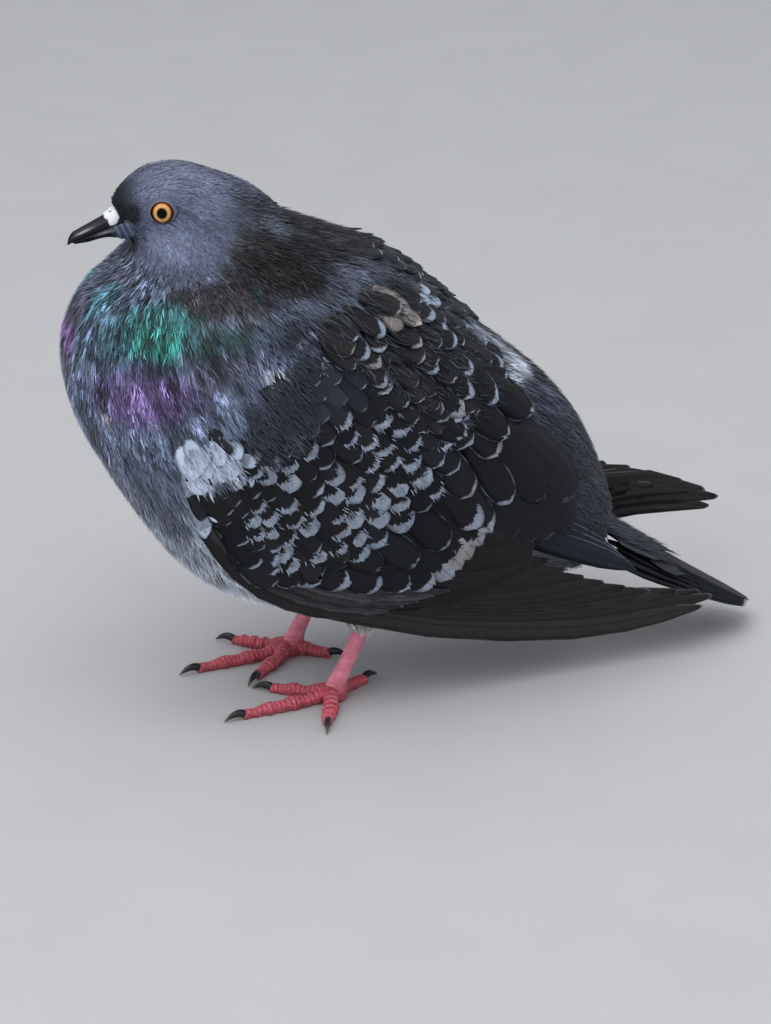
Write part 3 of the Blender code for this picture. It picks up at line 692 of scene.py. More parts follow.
# Markings laid over one another in turn: middle (ring, degrees), reach (rings, degrees), colour, strength
MARKINGS = [
    (6.9, 0, 1.4, 60, (0.030, 0.030, 0.038), 1.0),         # hind neck
    (6.8, 66, 1.40, 34, (0.018, 0.017, 0.020), 1.0),        # dark side of the neck
    (7.05, 102, 0.65, 32, (0.028, 0.024, 0.032), 1.0),      # dark under the hood
    (5.9, 156, 0.8, 22, (0.115, 0.125, 0.180), 0.9),       # grey throat
    (4.6, 168, 0.80, 22, (0.026, 0.025, 0.032), 0.9),      # dark under the jaw
    (7.4, 140, 1.0, 34, (0.085, 0.125, 0.190), 1.0),       # blue of the front
    (6.75, 157, 0.6, 15, (0.125, 0.300, 0.380), 0.9),      # teal
    (7.45, 139, 0.55, 14, (0.095, 0.225, 0.290), 0.8),
    (7.55, 121, 0.90, 21, (0.026, 0.115, 0.125), 1.0),     # green
    (7.80, 120, 0.60, 10, (0.030, 0.235, 0.205), 1.0),
    (8.00, 101, 0.36, 13, (0.020, 0.078, 0.082), 0.9),
    (7.25, 80, 0.10, 3, (0.025, 0.130, 0.110), 0.6),
    (7.5, 173, 1.2, 10, (0.115, 0.115, 0.185), 0.9),       # lilac edge of the front
    (7.72, 173, 0.24, 6.5, (0.330, 0.175, 0.500), 0.9),
    (8.5, 133, 0.52, 32, (0.105, 0.098, 0.200), 1.0),      # purple
    (8.6, 130, 0.34, 17, (0.215, 0.150, 0.350), 0.95),
    (8.45, 104, 0.34, 12, (0.070, 0.065, 0.105), 0.8),
    (9.75, 166, 0.40, 9, (0.330, 0.350, 0.430), 0.65),      # pale streaks low on the front
    (9.9, 150, 0.45, 9, (0.120, 0.135, 0.185), 0.8),
    (8.35, 76, 0.55, 13, (0.040, 0.047, 0.066), 0.9),      # slate shoulder
    (8.74, 89.5, 0.14, 4, (0.520, 0.530, 0.620), 0.85),
    (8.83, 150, 0.07, 3, (0.700, 0.700, 0.740), 0.9),
    (11.6, 30, 1.0, 26, (0.072, 0.080, 0.120), 1.0),       # slate rump
    (9.60, 18, 0.42, 11, (0.300, 0.345, 0.430), 0.9),       # pale band down the lower back
    (10.15, 13, 0.50, 9, (0.370, 0.420, 0.510), 1.0),
    (10.80, 19, 0.45, 13, (0.520, 0.570, 0.660), 1.0),
    (8.45, 25.5, 0.20, 6, (0.300, 0.345, 0.420), 0.9),
    (8.40, 44.5, 0.25, 7, (0.260, 0.225, 0.225), 0.8),
]
HEAD_MARKINGS = [
    (3.2, 40, 1.5, 38, (0.205, 0.228, 0.325), 0.9),        # pale crown
    (4.7, 121, 1.4, 32, (0.225, 0.258, 0.380), 0.85),      # pale cheek and throat
    (4.6, 79, 0.9, 4, (0.080, 0.090, 0.140), 0.6),         # line behind the eye
]
FACE_MARKINGS = [
    (1.3, 84, 1.20, 24, (0.017, 0.019, 0.030), 0.9),       # dark before the eye
    (2.7, 160, 1.7, 20, (0.016, 0.017, 0.022), 0.9),       # dark chin
]


def patch_mask(ring, degrees, middle_ring, middle_degrees, reach_ring, reach_degrees, warp):
    """1 inside an oval patch of rings and degrees, 0 outside, over a soft edge pushed about by noise."""
    away = np.hypot((ring - middle_ring) / reach_ring, (degrees - middle_degrees) / reach_degrees)
    return 1 - ease(away + 0.25 * warp, 0.55, 1.15)


def marked(colour, markings, ring, degrees, warp):
    """Colour with each marking of a table laid over it in turn."""
    for middle_ring, middle_degrees, reach_ring, reach_degrees, tone, strength in markings:
        mask = patch_mask(ring, degrees, middle_ring, middle_degrees, reach_ring, reach_degrees, warp)
        colour = blend(colour, tone, mask * strength)
    return colour


def plumage(places):
    """Colour of the coat at places (ring, turn): broad tones from head to tail, then markings over them."""
    ring, degrees = places[..., 0], np.degrees(places[..., 1])
    points = body_point(ring, places[..., 1])
    warp = cloud(points, 7.0, 3)
    fine = cloud(points, 2.2, 4)
    edge = hood_edge(degrees)
    head = blend((0.165, 0.182, 0.268), (0.140, 0.164, 0.252), ease(degrees, 35, 85))
    head = marked(head, HEAD_MARKINGS, ring, degrees, warp)
    head = blend(head, (0.018, 0.020, 0.032), 1 - ease(ring + 0.25 * warp + 0.002 * degrees, 0.9, 2.6))
    head = marked(head, FACE_MARKINGS, ring, degrees, warp)
    head = blend(head, (0.112, 0.126, 0.188), ease(ring + 0.3 * warp, edge - 1.1, edge - 0.1))
    behind = 1 - ease(degrees, 55, 78)
    head = blend(head, (0.045, 0.044, 0.052), ease(ring + 0.25 * warp, edge - 0.7, edge + 0.1) * behind)
    back = blend((0.118, 0.140, 0.195), (0.045, 0.050, 0.065), ease(ring, 8.8, 9.8))
    back = blend(back, (0.050, 0.056, 0.075), ease(ring + 0.2 * warp, 11.6, 12.4))
    back = blend(back, (0.045, 0.049, 0.062), ease(ring, 14.0, 15.5))
    breast = blend((0.150, 0.185, 0.280), (0.190, 0.224, 0.310), ease(ring + 0.3 * warp, 9.5, 10.3))
    breast = blend(breast, (0.860, 0.920, 1.000), ease(ring + 0.35 * warp + 0.25 * fine, 9.8, 11.5))
    breast = blend(breast, (0.300, 0.335, 0.410), ease(ring, 12.6, 14.2))
    breast = blend(breast, (0.100, 0.115, 0.150), ease(ring, 14.4, 15.6))
    belly = ease(degrees + 5 * warp - 14 * ease(ring, 8.8, 10.5), 66, 80)
    colour = blend(back, breast, belly)
    hood = 1 - ease(ring + 0.16 * warp + 0.12 * fine, edge - 0.28, edge + 0.28)
    colour = blend(marked(colour, MARKINGS, ring, degrees, warp), head, hood)
    return colour * (1 + 0.08 * fine + 0.06 * warp)[..., None], hood


EYE_RADIUS = 5.4


def eye_centre(side):
    """Middle of the eyeball, from its node, in the bird's millimetres."""
    low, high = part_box(f"eye_{SIDES[side]}")
    middle = (low + high) / 2 / MM
    return np.array((middle.x - SHIFT / MM, middle.y, middle.z))


EYE = {side: eye_centre(side) for side in SIDES}


def coat_depth(ring):
    """How far the skin lies inside the tips of the coat."""
    return 1.0 + 3.2 * ease(ring, 5.0, 8.5) - 0.9 * (1 - ease(ring, 0.3, 2.0))


# -------- finishes

def plume_finish(name, slot, roughness=0.85, contrast=0.35, sheen=0.10, specular=0.2, **constants):
    """Small feathers: the tint broken by fine barbs that run out from the shaft, different in each vane."""
    finish = Finish(name, slot, Roughness=roughness, Specular_IOR_Level=specular, Sheen_Weight=sheen,
                    Sheen_Roughness=0.5, **constants)
    tint, _ = finish.attribute("tint")
    _, (_, _, rand, _) = finish.attribute("vane")
    x, y = finish.uv("barbs")
    barb = y - abs(x) * 0.9
    lines = finish.noise(finish.vector(barb * 26.0, abs(x) * 3.0, rand * 40.0), 1.0, 2.0)
    finish.wear(Base_Color=finish.shade(tint, (lines - 0.5) * (2 * contrast) + 1.0))
    finish.bump(lines, 0.10, 0.5)
    return finish


SOFT = plume_finish("soft_plumage", "body_feathers")
HOODED = plume_finish("hood_plumage", "head_feathers", contrast=0.20)
HACKLE = plume_finish("glossy_hackles", "neck_feathers", roughness=0.48, sheen=0.04, specular=0.35)


def skin_finish():
    """Skin under the feathers: the coat's tone with soft down in it; bare and creased by the gape."""
    finish = Finish("downy_skin", "body_feathers", Roughness=0.9, Specular_IOR_Level=0.2)
    finish.grained(1.6, 0.7, 0.65, 0.3, 0.7)
    return finish


# -------- skin

GAPE = (0.2, 114.0, 1.15, 30.0)       # bare skin by the mouth: middle and reach in rings and degrees


def gape(ring, degrees):
    """1 on the bare skin by the mouth's corner, 0 on feathered skin."""
    middle_ring, middle_degrees, reach_ring, reach_degrees = GAPE
    away = np.hypot((ring - middle_ring) / reach_ring, (degrees - middle_degrees) / reach_degrees)
    return 1 - ease(away, 0.85, 1.1)


def thigh_skin(side):
    """The thigh's cone, drawn in towards its middle line, from inside the belly to the bare leg."""
    turn = all_round(40)
    cone = THIGH[side].place(np.stack(np.meshgrid(np.linspace(0, 1, 24), turn, indexing="ij"), -1))
    return cone + (cone.mean(1, keepdims=True) - cone) * (0.9 / 4.4)


def body_skin():
    """The skin: the body's surface drawn in along its normal by the coat's depth, hollowed round each eye."""
    rings, sides = 170, 144
    ring = np.linspace(0.0, LAST_RING, rings)[:, None] + np.zeros(sides)
    turn = all_round(sides) + np.zeros((rings, 1))
    whole = Surface(lambda p: body_point(np.clip(p[..., 0], 0, LAST_RING), p[..., 1]), (0.03, 0.02), -1)
    here, _, _, normal = whole.frame(np.stack([ring, turn], -1))
    folded = np.minimum(turn, 2 * math.pi - turn)
    degrees = np.degrees(folded)
    bare = gape(ring, degrees)
    crease = bare * 0.15 * np.sin(ring * 10.5 + 0.04 * degrees)
    points = here - normal * (coat_depth(ring) * (1 - 0.6 * bare) + 0.9 * bare + crease)[..., None]
    for side in SIDES:
        near = 1 - ease(np.linalg.norm(points - EYE[side] - (0, side * 3.0, 0), axis=-1), 2.6, 5.0)
        points[..., 1] -= side * 5.5 * near
    colour, hood = plumage(np.stack([ring, folded], -1))
    colour = colour * (0.35 + 0.30 * hood)[..., None]
    # Painted shade: the bare skin by the mouth is darkened where its creases sink in.
    colour = blend(colour, (0.130, 0.170, 0.240), bare) * (1 - 1.5 * np.maximum(crease, 0))[..., None]
    thighs = [thigh_skin(side) for side in SIDES]
    tones = [np.full(thigh.shape, (0.10, 0.11, 0.14)) for thigh in thighs]
    closed_tubes("skin", [points, *thighs], [colour, *tones], skin_finish(),
                 replaces=("head", "neck", "trunk", "rump", "thigh_left", "thigh_right"))


def body_patch(vanes, side):
    """Where body feathers bake: the root's place on the unwrapped body, left half below and right above."""
    ring, turn = vanes.roots[:, 0], vanes.roots[:, 1]
    return np.stack([ring / LAST_RING * 0.94 + 0.03, 0.5 + side * turn / (2 * math.pi) * 0.94], -1)


# -------- coats of the body

FEATHER = Cut((0, 0.35, 0.68, 0.88, 1.0), (0.45, 0.92, 1.0, 0.72, 0.22), columns=4, rounding=0.14,
              ragged=0.02)
TUFT = Cut((0, 0.5, 0.85, 1.0), (0.6, 1.0, 0.7, 0.2), columns=3, rounding=0.12, ragged=0.03)
STRAND = Cut((0, 0.55, 1.0), (0.8, 1.0, 0.12), columns=2)


def in_degrees(look):
    """A look given over rings and degrees, made one over rings and turns."""
    return (lambda ring, turn: look(ring, np.degrees(turn))) if callable(look) else look


def body_roots(side, low, high, spacing, seed, keep=None, even=True):
    """Roots over a patch of one half of the body; its corners, spacing and keep are in rings and degrees."""
    low, high = ((ring, math.radians(degrees)) for ring, degrees in (low, high))
    return scatter(BODY[side], low, high, in_degrees(spacing), seed, in_degrees(keep), even)


def side_view(ring, degrees):
    """x and z of places on the body."""
    x, _, z = np.moveaxis(body_point(ring, np.radians(degrees)), -1, 0)
    return x, z


def shaded(colour, vanes, power, root, dark=1.0):
    """Colour times e to a power that varies from vane to vane, and darker at the root, by the share root:
    painted shade where the vane lies under others.
    """
    return colour * (dark * np.exp(power)[:, None, None] * (root + (1 - root) * vanes.v))[..., None]


LOCK_RING, LOCK_TURN = 11, 3.2          # the noise that makes locks, per ring and per degree


def streaks(fine, broad, jitter, root=0.5, size=1.4, dark=1.0):
    """Tone that varies from lock to lock, in noise drawn out along the coat's lie, and painted shade that
    darkens it from tip to root.
    """
    def tone(vanes, colour, rng):
        spot = body_point(*vanes.roots.T) + rng.uniform(0, 900)
        ring, turn = vanes.roots.T
        place = np.stack([ring * LOCK_RING, np.degrees(turn) * LOCK_TURN, 0 * ring + rng.uniform(0, 900)], -1)
        power = (at(in_degrees(fine), vanes.roots) * cloud(place, 3.6 * size, 5)
                 + broad * cloud(spot, 4 * size, 6) + jitter * rng.normal(0, 1, vanes.n))
        return shaded(colour, vanes, power, root, dark)
    return tone


def covered(ring, degrees):
    """Where a folded wing hides the body for certain."""
    x, z = side_view(ring, degrees)
    knots = (-40, -20, 0, 30, 60, 90)
    low = np.interp(x, knots, (88, 76, 64, 58, 62, 66))
    high = np.interp(x, knots, (100, 112, 118, 116, 100, 80))
    return (x > -38) & (x < 90) & (z > low) & (z < high) & (degrees > 51.566) & (degrees < 148.969)


def dress(coat, cut, low, high, spacing, seed, length, width, root, lift, tone, angle_jitter=6.0, keep=None,
          sway=0.0, clump=0.0, roll=6.0, radius=30.0, rise=1.0, lift_jitter=0.12, even=True):
    """Cover a patch of the body, on both sides, with vanes.

    Each look, from spacing to lift, is a number or a function of ring and degrees.  root and lift are the
    heights of the vane's ends over the coat's outline; sway and clump turn it by noise.
    """
    def wanted(ring, degrees):
        return ~covered(ring, degrees) & (keep(ring, degrees) if keep else True)
    for side in SIDES:
        draw = seed * 2 + (side > 0)
        rng = np.random.default_rng(draw)
        p = body_roots(side, low, high, spacing, draw, wanted, even)
        n = len(p)
        size = np.exp(rng.normal(0, 0.12, n))
        spot = body_point(*p.T) + rng.uniform(0, 900)
        heading = rng.normal(0, angle_jitter, n) + sway * cloud(spot, 7.0, 8) + clump * cloud(spot, 1.9, 9)
        long, wide, low_end, high_end = (at(in_degrees(look), p) for look in (length, width, root, lift))
        vanes = Vanes(BODY[side], cut, p, heading, long * size, wide * size, low_end,
                      high_end + rng.normal(0, lift_jitter, n), rise, radius, jitter=(roll, 8), rng=rng)
        colour, _ = plumage(vanes.places)
        coat.add(vanes, tone(vanes, colour, rng), body_patch(vanes, side))


def clear_of_face(ring, degrees):
    """Places clear of both eyes and of the bare skin by the mouth."""
    points = body_point(ring, np.radians(degrees))
    eye = np.linalg.norm(points - EYE[LEFT] - (0, -3.0, 0), axis=-1) > 4.1
    return eye & (gape(ring, degrees) < 0.5)


def head_coat():
    """Short feathers that lie almost flat, finest by the bill, under a fine nap of strands."""
    coat = Coat("head_coat", HOODED)

    def small(ring):
        return 1.7 + 2.3 * ease(ring, 1.5, 6.3)

    def nape(ring, degrees):
        return 2.3 * np.exp(-((ring - 5.35) / 0.55) ** 2) * (1 - ease(degrees, 15, 52))

    def brow(ring, degrees):
        return 0.6 * (1 - ease(ring, 0.0, 0.5)) * (1 - ease(degrees, 30, 60))

    def under_hood(ring, degrees):
        return clear_of_face(ring, degrees) & (ring < hood_edge(degrees) + 0.1)
    dress(coat, TUFT, (0.05, 0), (7.0, 180), lambda ring, _: 0.55 * small(ring), 21,
          length=lambda ring, _: 1.7 * small(ring), width=lambda ring, _: 0.8 * small(ring), root=-0.75,
          lift=lambda ring, degrees: -0.30 + 0.2 * ease(ring, 4.5, 6.6) + nape(ring, degrees),
          tone=streaks(0.10, 0.10, 0.05, 0.8), keep=under_hood, roll=2.0, radius=14.0, lift_jitter=0.05)
    dress(coat, STRAND, (0.02, 0), (7.0, 180), lambda ring, _: 0.42 + 0.20 * ease(ring, 1.0, 5.0), 22,
          length=lambda ring, _: 1.5 + 2.3 * ease(ring, 0.5, 6.0),
          width=lambda ring, _: 0.40 + 0.22 * ease(ring, 1.0, 5.0), root=-0.5,
          lift=lambda ring, degrees: (-0.02 + 0.35 * ease(ring, 5.2, 6.6) + 0.25 * (1 - ease(ring, 0.3, 1.6))
                                      + nape(ring, degrees) + brow(ring, degrees)),
          tone=streaks(0.32, 0.22, 0.14, 0.70, 1.2), keep=under_hood, angle_jitter=9, sway=7, clump=9, roll=8,
          lift_jitter=0.07, even=False)
    return coat.make()


def neck_coat():
    """Loose dark feathers under long glossy hair-like strands, gathered in locks."""
    coat = Coat("neck_coat", HACKLE)

    def below_hood(ring, degrees):
        return ring > hood_edge(degrees) - 0.4

    def flat_behind(ring, degrees):
        return 0.5 - 1.0 * (1 - ease(degrees, 10, 30)) * (1 - ease(ring, 6.8, 7.6))
    dress(coat, FEATHER, (3.3, 0), (9.2, 180), lambda ring, _: 2.6 + 0.5 * ease(ring, 6, 8), 31,
          length=8.0, width=5.0, root=-1.7, lift=-0.6, tone=streaks(0.3, 0.2, 0.1, 0.4, 2.0, 0.45),
          keep=below_hood, roll=4)
    dress(coat, STRAND, (3.3, 0), (9.3, 180), lambda _, degrees: 0.62 + 0.5 * (1 - ease(degrees, 45, 75)), 32,
          length=lambda ring, _: 5.0 + 3.5 * ease(ring, 5.5, 8), width=0.62, root=-1.0, lift=flat_behind,
          tone=streaks(lambda _, degrees: 0.5 + 1.5 * ease(degrees, 72, 100), 0.30, 0.22, 0.32, 1.0, 0.95),
          keep=below_hood, angle_jitter=4, sway=12, clump=20, rise=0.9, lift_jitter=0.3, even=False)
    return coat.make()


def before_wing(ring, degrees):
    """Just ahead of the upper front edge of a wing."""
    x, z = side_view(ring, degrees)
    ahead = np.interp(z, (104, 111, 122, 133, 137.5, 149), (-50, -46, -32.5, -21, -16.5, -9.5)) - x
    return (ahead > 5) & (ahead < 13) & (z > 106) & (z < 138) & (degrees > 68.755)


def breast_coat():
    """Soft feathers under a fine hair-like nap that hangs a little free along the belly."""
    coat = Coat("breast_coat", SOFT)

    def front(ring, degrees):
        return degrees > 62 + 10 * ease(ring, 9.5, 12)

    def free_below(ring, degrees):
        return 0.35 + 0.7 * ease(ring, 9.6, 11) + 1.7 * ease(degrees, 132, 162) * ease(ring, 9.2, 10.2)
    dress(coat, FEATHER, (8.4, 60), (15.8, 180), 3.8, 41, length=11.0, width=7.0, root=-1.5, lift=-0.35,
          tone=streaks(0.2, 0.1, 0.08, 0.7, 2.5), keep=front, roll=4)
    dress(coat, STRAND, (8.3, 60), (15.6, 180), lambda ring, _: 0.86 + 0.5 * ease(ring, 11.5, 13), 42,
          length=8.0, width=0.62, root=-1.0, lift=free_below, tone=streaks(0.50, 0.24, 0.12, 0.8, 1.1),
          keep=front, angle_jitter=5, sway=10, clump=10, rise=0.9, lift_jitter=0.25, even=False)
    dress(coat, STRAND, (8.0, 70), (10.4, 128), 0.72, 43, length=9.5, width=0.60, root=-1.0, lift=4.0,
          tone=streaks(0.32, 0.22, 0.14, 0.6, 1.6), keep=before_wing, angle_jitter=6, sway=10, clump=10,
          rise=1.3, lift_jitter=0.3, even=False)
    return coat.make()


def back_coat():
    """Dark feathers of the mantle and rump under loose pale barbs."""
    coat = Coat("back_coat", SOFT)

    def behind(ring, degrees):
        return degrees < 82 - 8 * ease(ring, 9.5, 12) + 12 * ease(ring, 12.5, 13.5)

    def low_under_scapulars(ring, _):
        return 0.75 - 0.4 * ease(ring, 7.2, 7.8) * (1 - ease(ring, 9.6, 10.4))
    dress(coat, FEATHER, (5.9, 0), (9.4, 84), lambda ring, _: 2.6 + 1.6 * ease(ring, 6.5, 9), 51,
          length=lambda ring, _: 9 + 4 * ease(ring, 6.5, 9),
          width=lambda ring, _: 4.6 + 3 * ease(ring, 6.5, 9), root=-1.4, lift=-0.4,
          tone=streaks(0.4, 0.2, 0.15, 0.5, 2.5, 0.6), keep=behind, roll=4)
    dress(coat, FEATHER, (9.0, 0), (15.9, 84), lambda ring, _: 4.6 - 0.8 * ease(ring, 12, 14), 52,
          length=15, width=8.5, root=-1.5, lift=0.1, tone=streaks(0.3, 0.2, 0.15, 0.5, 3.0, 0.9),
          keep=behind, roll=4)
    dress(coat, STRAND, (12.0, 0), (15.9, 96), 0.95, 54, length=11.0, width=0.65, root=-0.9, lift=0.8,
          tone=streaks(0.5, 0.3, 0.2, 0.6, 2.2, 1.0), keep=behind, angle_jitter=6, sway=10, clump=10,
          rise=0.9, lift_jitter=0.25, even=False)
    dress(coat, STRAND, (5.9, 0), (12.2, 84), lambda ring, _: 0.80 + 0.3 * ease(ring, 9, 10), 53,
          length=9.0, width=0.55, root=-0.9, lift=low_under_scapulars,
          tone=streaks(1.3, 0.35, 0.25, 0.5, 1.2, 0.95), keep=behind, angle_jitter=7, sway=14, clump=14,
          rise=0.9, lift_jitter=0.3, even=False)
    return coat.make()


# -------- thighs

THIGH_LOW, THIGH_HIGH = 27.0, 52.0


def thigh_side(side):
    """Cone from the belly down to the bare leg, over the share of its height from the top, and a turn."""
    x, y = FOOT_CENTRE[side][0] + LEG_LEAN, FOOT_CENTRE[side][1]

    def place(p):
        share = 1 - p[..., 0]
        radius = 4.2 + 6.4 * np.clip(share, 0, 1) ** 1.1
        return np.stack([x + 1.2 * radius * np.cos(p[..., 1]), y + radius * np.sin(p[..., 1]),
                         THIGH_LOW + (THIGH_HIGH - THIGH_LOW) * share], -1)
    return Surface(place, (0.02, 0.05), -1)


def thigh_coats():
    """Soft tufts that hang down over the top of each bare leg, palest at their ends."""
    for side in SIDES:
        rng = np.random.default_rng(61 + (side > 0))
        coat = Coat(f"thigh_{SIDES[side]}_coat", SOFT)
        looks = ((FEATHER, 2.2, 5.0, 2.6, 0.0), (STRAND, 0.62, 5.5, 0.5, 0.6))
        for cut, spacing, length, width, lift in looks:
            p = scatter(THIGH[side], (0.1, 0.0), (0.86, 2 * math.pi), spacing, 61, None, cut is FEATHER)
            n = len(p)
            vanes = Vanes(THIGH[side], cut, p, rng.normal(0, 8, n), length * np.exp(rng.normal(0, 0.15, n)),
                          width, -0.8, lift + rng.normal(0, 0.2, n), 1.0, 8.0, jitter=(6, 8), rng=rng)
            low = ease(vanes.places[..., 0], 0.62, 0.95)
            colour = blend((0.26, 0.29, 0.36), (0.62, 0.60, 0.60), low)
            patch = np.stack([0.03 + 0.9 * p[:, 0], 0.03 + 0.94 * p[:, 1] / (2 * math.pi)], -1)
            coat.add(vanes, shaded(colour, vanes, rng.normal(0, 0.25, n), 0.6), patch)
        coat.make()


FOOT_CENTRE = {LEFT: (3.0, -24.0), RIGHT: (-3.0, 22.0)}
LEG_LEAN = 13.0
THIGH = {side: thigh_side(side) for side in SIDES}
body_skin()
head_coat()
neck_coat()
breast_coat()
back_coat()
thigh_coats()


# -------- large feathers

PALE, PEACH = (0.262, 0.312, 0.400), (0.270, 0.238, 0.235)
BLACK = np.array((0.0085, 0.0095, 0.0130))


def vane_finish(name, slot, roughness=0.6, broken=(0.38, 0.62)):
    """Large feathers: a dark vane, a pale ragged tip round its rounded dark middle, and a thin broken edge.

    mark holds the pale tip's depth in centimetres, its lean to one corner (0.5 is even), how pale the whole
    vane is, and how strong its edge is; the tint's last number is how warm the pale is.  broken is where in a
    noise the edge comes and goes.
    """
    finish = Finish(name, slot, Roughness=roughness, Specular_IOR_Level=0.16)
    tint, (_, _, _, warm) = finish.attribute("tint")
    _, (depth, lean, whole, fringe) = finish.attribute("mark")
    _, (across, along, rand, size) = finish.attribute("vane")
    x, y = finish.uv("barbs")
    side = across * 2.0 - 1.0
    inward = (1.0 - along) * size * 100.0
    barb = y - abs(x) * 0.9
    lines = finish.noise(finish.vector(barb * 22.0, abs(x) * 2.0, rand * 40.0), 1.0, 2.0)
    teeth = finish.noise(finish.vector(barb * 9.0, abs(x) * 1.5, rand * 70.0), 1.0, 2.0)
    blotch = finish.noise(finish.vector(x * 2.4, y * 2.4, rand * 90.0), 1.0, 2.0)
    corner = side - (lean * 2.0 - 1.0) * 0.6
    deep = depth * 10.0
    reach = deep * (teeth * 1.3 + blotch * 0.7 - 0.1) + corner * corner * deep.least(3.0) * 0.9
    mask = (reach - inward).ease(-0.5, 0.8) * depth.ease(0.01, 0.04)
    edge = (1.0 - inward.ease(0.25, 0.75)).most(abs(side).ease(0.86, 0.98)) * along.ease(0.3, 0.65)
    all_over = whole * ((teeth - 0.5) * (1.0 - whole) * 3.0 + 1.0)
    mask = mask.most(edge * (fringe * 1.6) * blotch.ease(*broken)).most(all_over).clamp()
    # Painted shade: the dark of each vane darkens towards its root, where the vanes over it lie.
    dark = finish.shade(tint, (lines - 0.5) * 1.0 + (rand - 0.5) * 0.5 + along * 0.5 + 0.65)
    pale = finish.mix(warm, PALE, PEACH)
    light = finish.shade(pale, (lines - 0.5) * 0.7 + (blotch - 0.5) * 0.8 + whole * 1.1 + 1.0)
    shaft = 1.0 - abs(x).ease(0.014, 0.030)
    colour = finish.mix(mask, dark, light)
    finish.wear(Base_Color=finish.shade(colour, 1.0 - shaft * size.ease(0.22, 0.40) * 0.5))
    finish.bump(lines, 0.08, 0.5)
    return finish


COVERT = vane_finish("covert_vanes", "covert_feathers")
QUILL = vane_finish("flight_vanes", "flight_feathers", roughness=0.5, broken=(0.20, 0.60))

BIG = Cut((0, 0.2, 0.42, 0.62, 0.76, 0.86, 0.92, 0.965, 1.0),
          (0.35, 0.78, 0.96, 1.0, 0.97, 0.86, 0.73, 0.55, 0.24),
          columns=5, rounding=0.012, ragged=0.018, wall=0.22)
TAPER = Cut((0, 0.1, 0.2, 0.32, 0.44, 0.56, 0.68, 0.80, 0.90, 0.96, 1.0),
            (0.25, 0.6, 0.85, 0.98, 1.0, 1.0, 0.96, 0.85, 0.60, 0.36, 0.08),
            columns=5, rounding=0.01, ragged=0.002, wall=0.30)
LONG = Cut((0, 0.1, 0.2, 0.32, 0.44, 0.56, 0.68, 0.78, 0.87, 0.94, 1.0),
           (0.25, 0.6, 0.85, 0.98, 1.0, 1.0, 0.98, 0.93, 0.83, 0.64, 0.22),
           columns=5, rounding=0.01, ragged=0.002, wall=0.30)


def stood_back(tips, angle, length):
    """Roots of vanes whose tips, headings and lengths are given in the wing's side view."""
    turn = np.radians(angle)
    return tips - np.stack([np.cos(turn), np.sin(turn)], -1) * np.broadcast_to(length, len(tips))[:, None]


def oval(p, x, z, reach_x, reach_z, soft=0.35):
    """1 inside an oval of the side view, 0 outside."""
    away = np.hypot((p[..., 0] - x) / reach_x, (p[..., 1] - z) / reach_z)
    return 1 - ease(away, 1 - soft, 1 + soft)


# -------- the wing's coverts

# Lines that the tips of the coverts follow, (x, z), from the leading edge up to the back
LAST_ROW = ((-22, 61), (-8, 61.5), (9, 67), (25, 76), (38, 88), (48, 101), (57, 117))
FIRST_ROW = ((-45, 103), (-39, 108.5), (-29, 117), (-18, 126), (-6, 135), (10, 142), (30, 141))
ROWS, ACROSS = 10, 12
SHIELD_CELLS = 13          # cells across the baked square of the shield
SLATE_FROM = (-38, -22, 6, 30, 45), (112, 105, 117, 128, 134)     # x, and height from which coverts are slate

# Where covert tips are pale: middle (x, z), reach (x, z), depth of the pale tip in millimetres
PALE_TIPS = np.array([
    (-17, 103, 6.5, 5.5, 5.0), (-25.5, 102, 4, 3.5, 3.5), (-22.5, 84.5, 6, 6.5, 4.5),
    (-13.5, 78.5, 3.5, 3, 2.5),
    (-9, 89.5, 5, 6, 4.0), (0.5, 98, 5, 6.5, 4.2), (-4, 111.5, 6.5, 4, 3.0), (5, 110, 6, 3.5, 3.0),
    (10.5, 102, 4.5, 4, 3.0), (19, 110.5, 6, 7, 3.0), (28.5, 116.5, 6, 8, 2.2), (17.5, 96.5, 4.5, 4.5, 3.3),
    (26.5, 101, 4.5, 4.5, 3.1), (16.5, 82, 9, 7.5, 6.0), (9, 89, 7, 4.5, 4.5), (-2.5, 80.5, 6, 5, 4.5),
    (5, 73.5, 8.5, 4.5, 5.8), (-12.5, 70.5, 8, 4, 4.3), (29, 77, 9, 6.5, 4.5), (28, 91.5, 6, 5, 4.0),
    (38, 99, 6, 6, 1.6), (46, 104, 5, 8, 1.3), (41, 89, 6, 5, 1.8), (-18.5, 117.5, 5, 3, 1.2),
    (-9, 119, 5, 3, 1.2),
    (0.5, 120, 5, 3, 1.3), (29.5, 123, 5, 4, 1.6), (-33, 112.5, 6, 5, 4.0), (-30.5, 104.5, 5, 5, 3.0),
])


def along_rows(row, share):
    """Place on the covert rows, from 0, the lowest, to ROWS; share runs from the edge to the back."""
    at = np.clip(share, 0, 1) * 6
    low, high = spline(LAST_ROW, at), spline(FIRST_ROW, at)
    return low + (high - low) * (row / ROWS)[..., None]


def pale_depth(p):
    """Depth of the pale tip of coverts whose tips are at p."""
    p = np.asarray(p)[..., None, :]
    x, z, reach_x, reach_z, depth = PALE_TIPS.T
    return (depth * oval(p, x, z, reach_x * 1.15, reach_z * 1.15, 0.3)).max(-1)


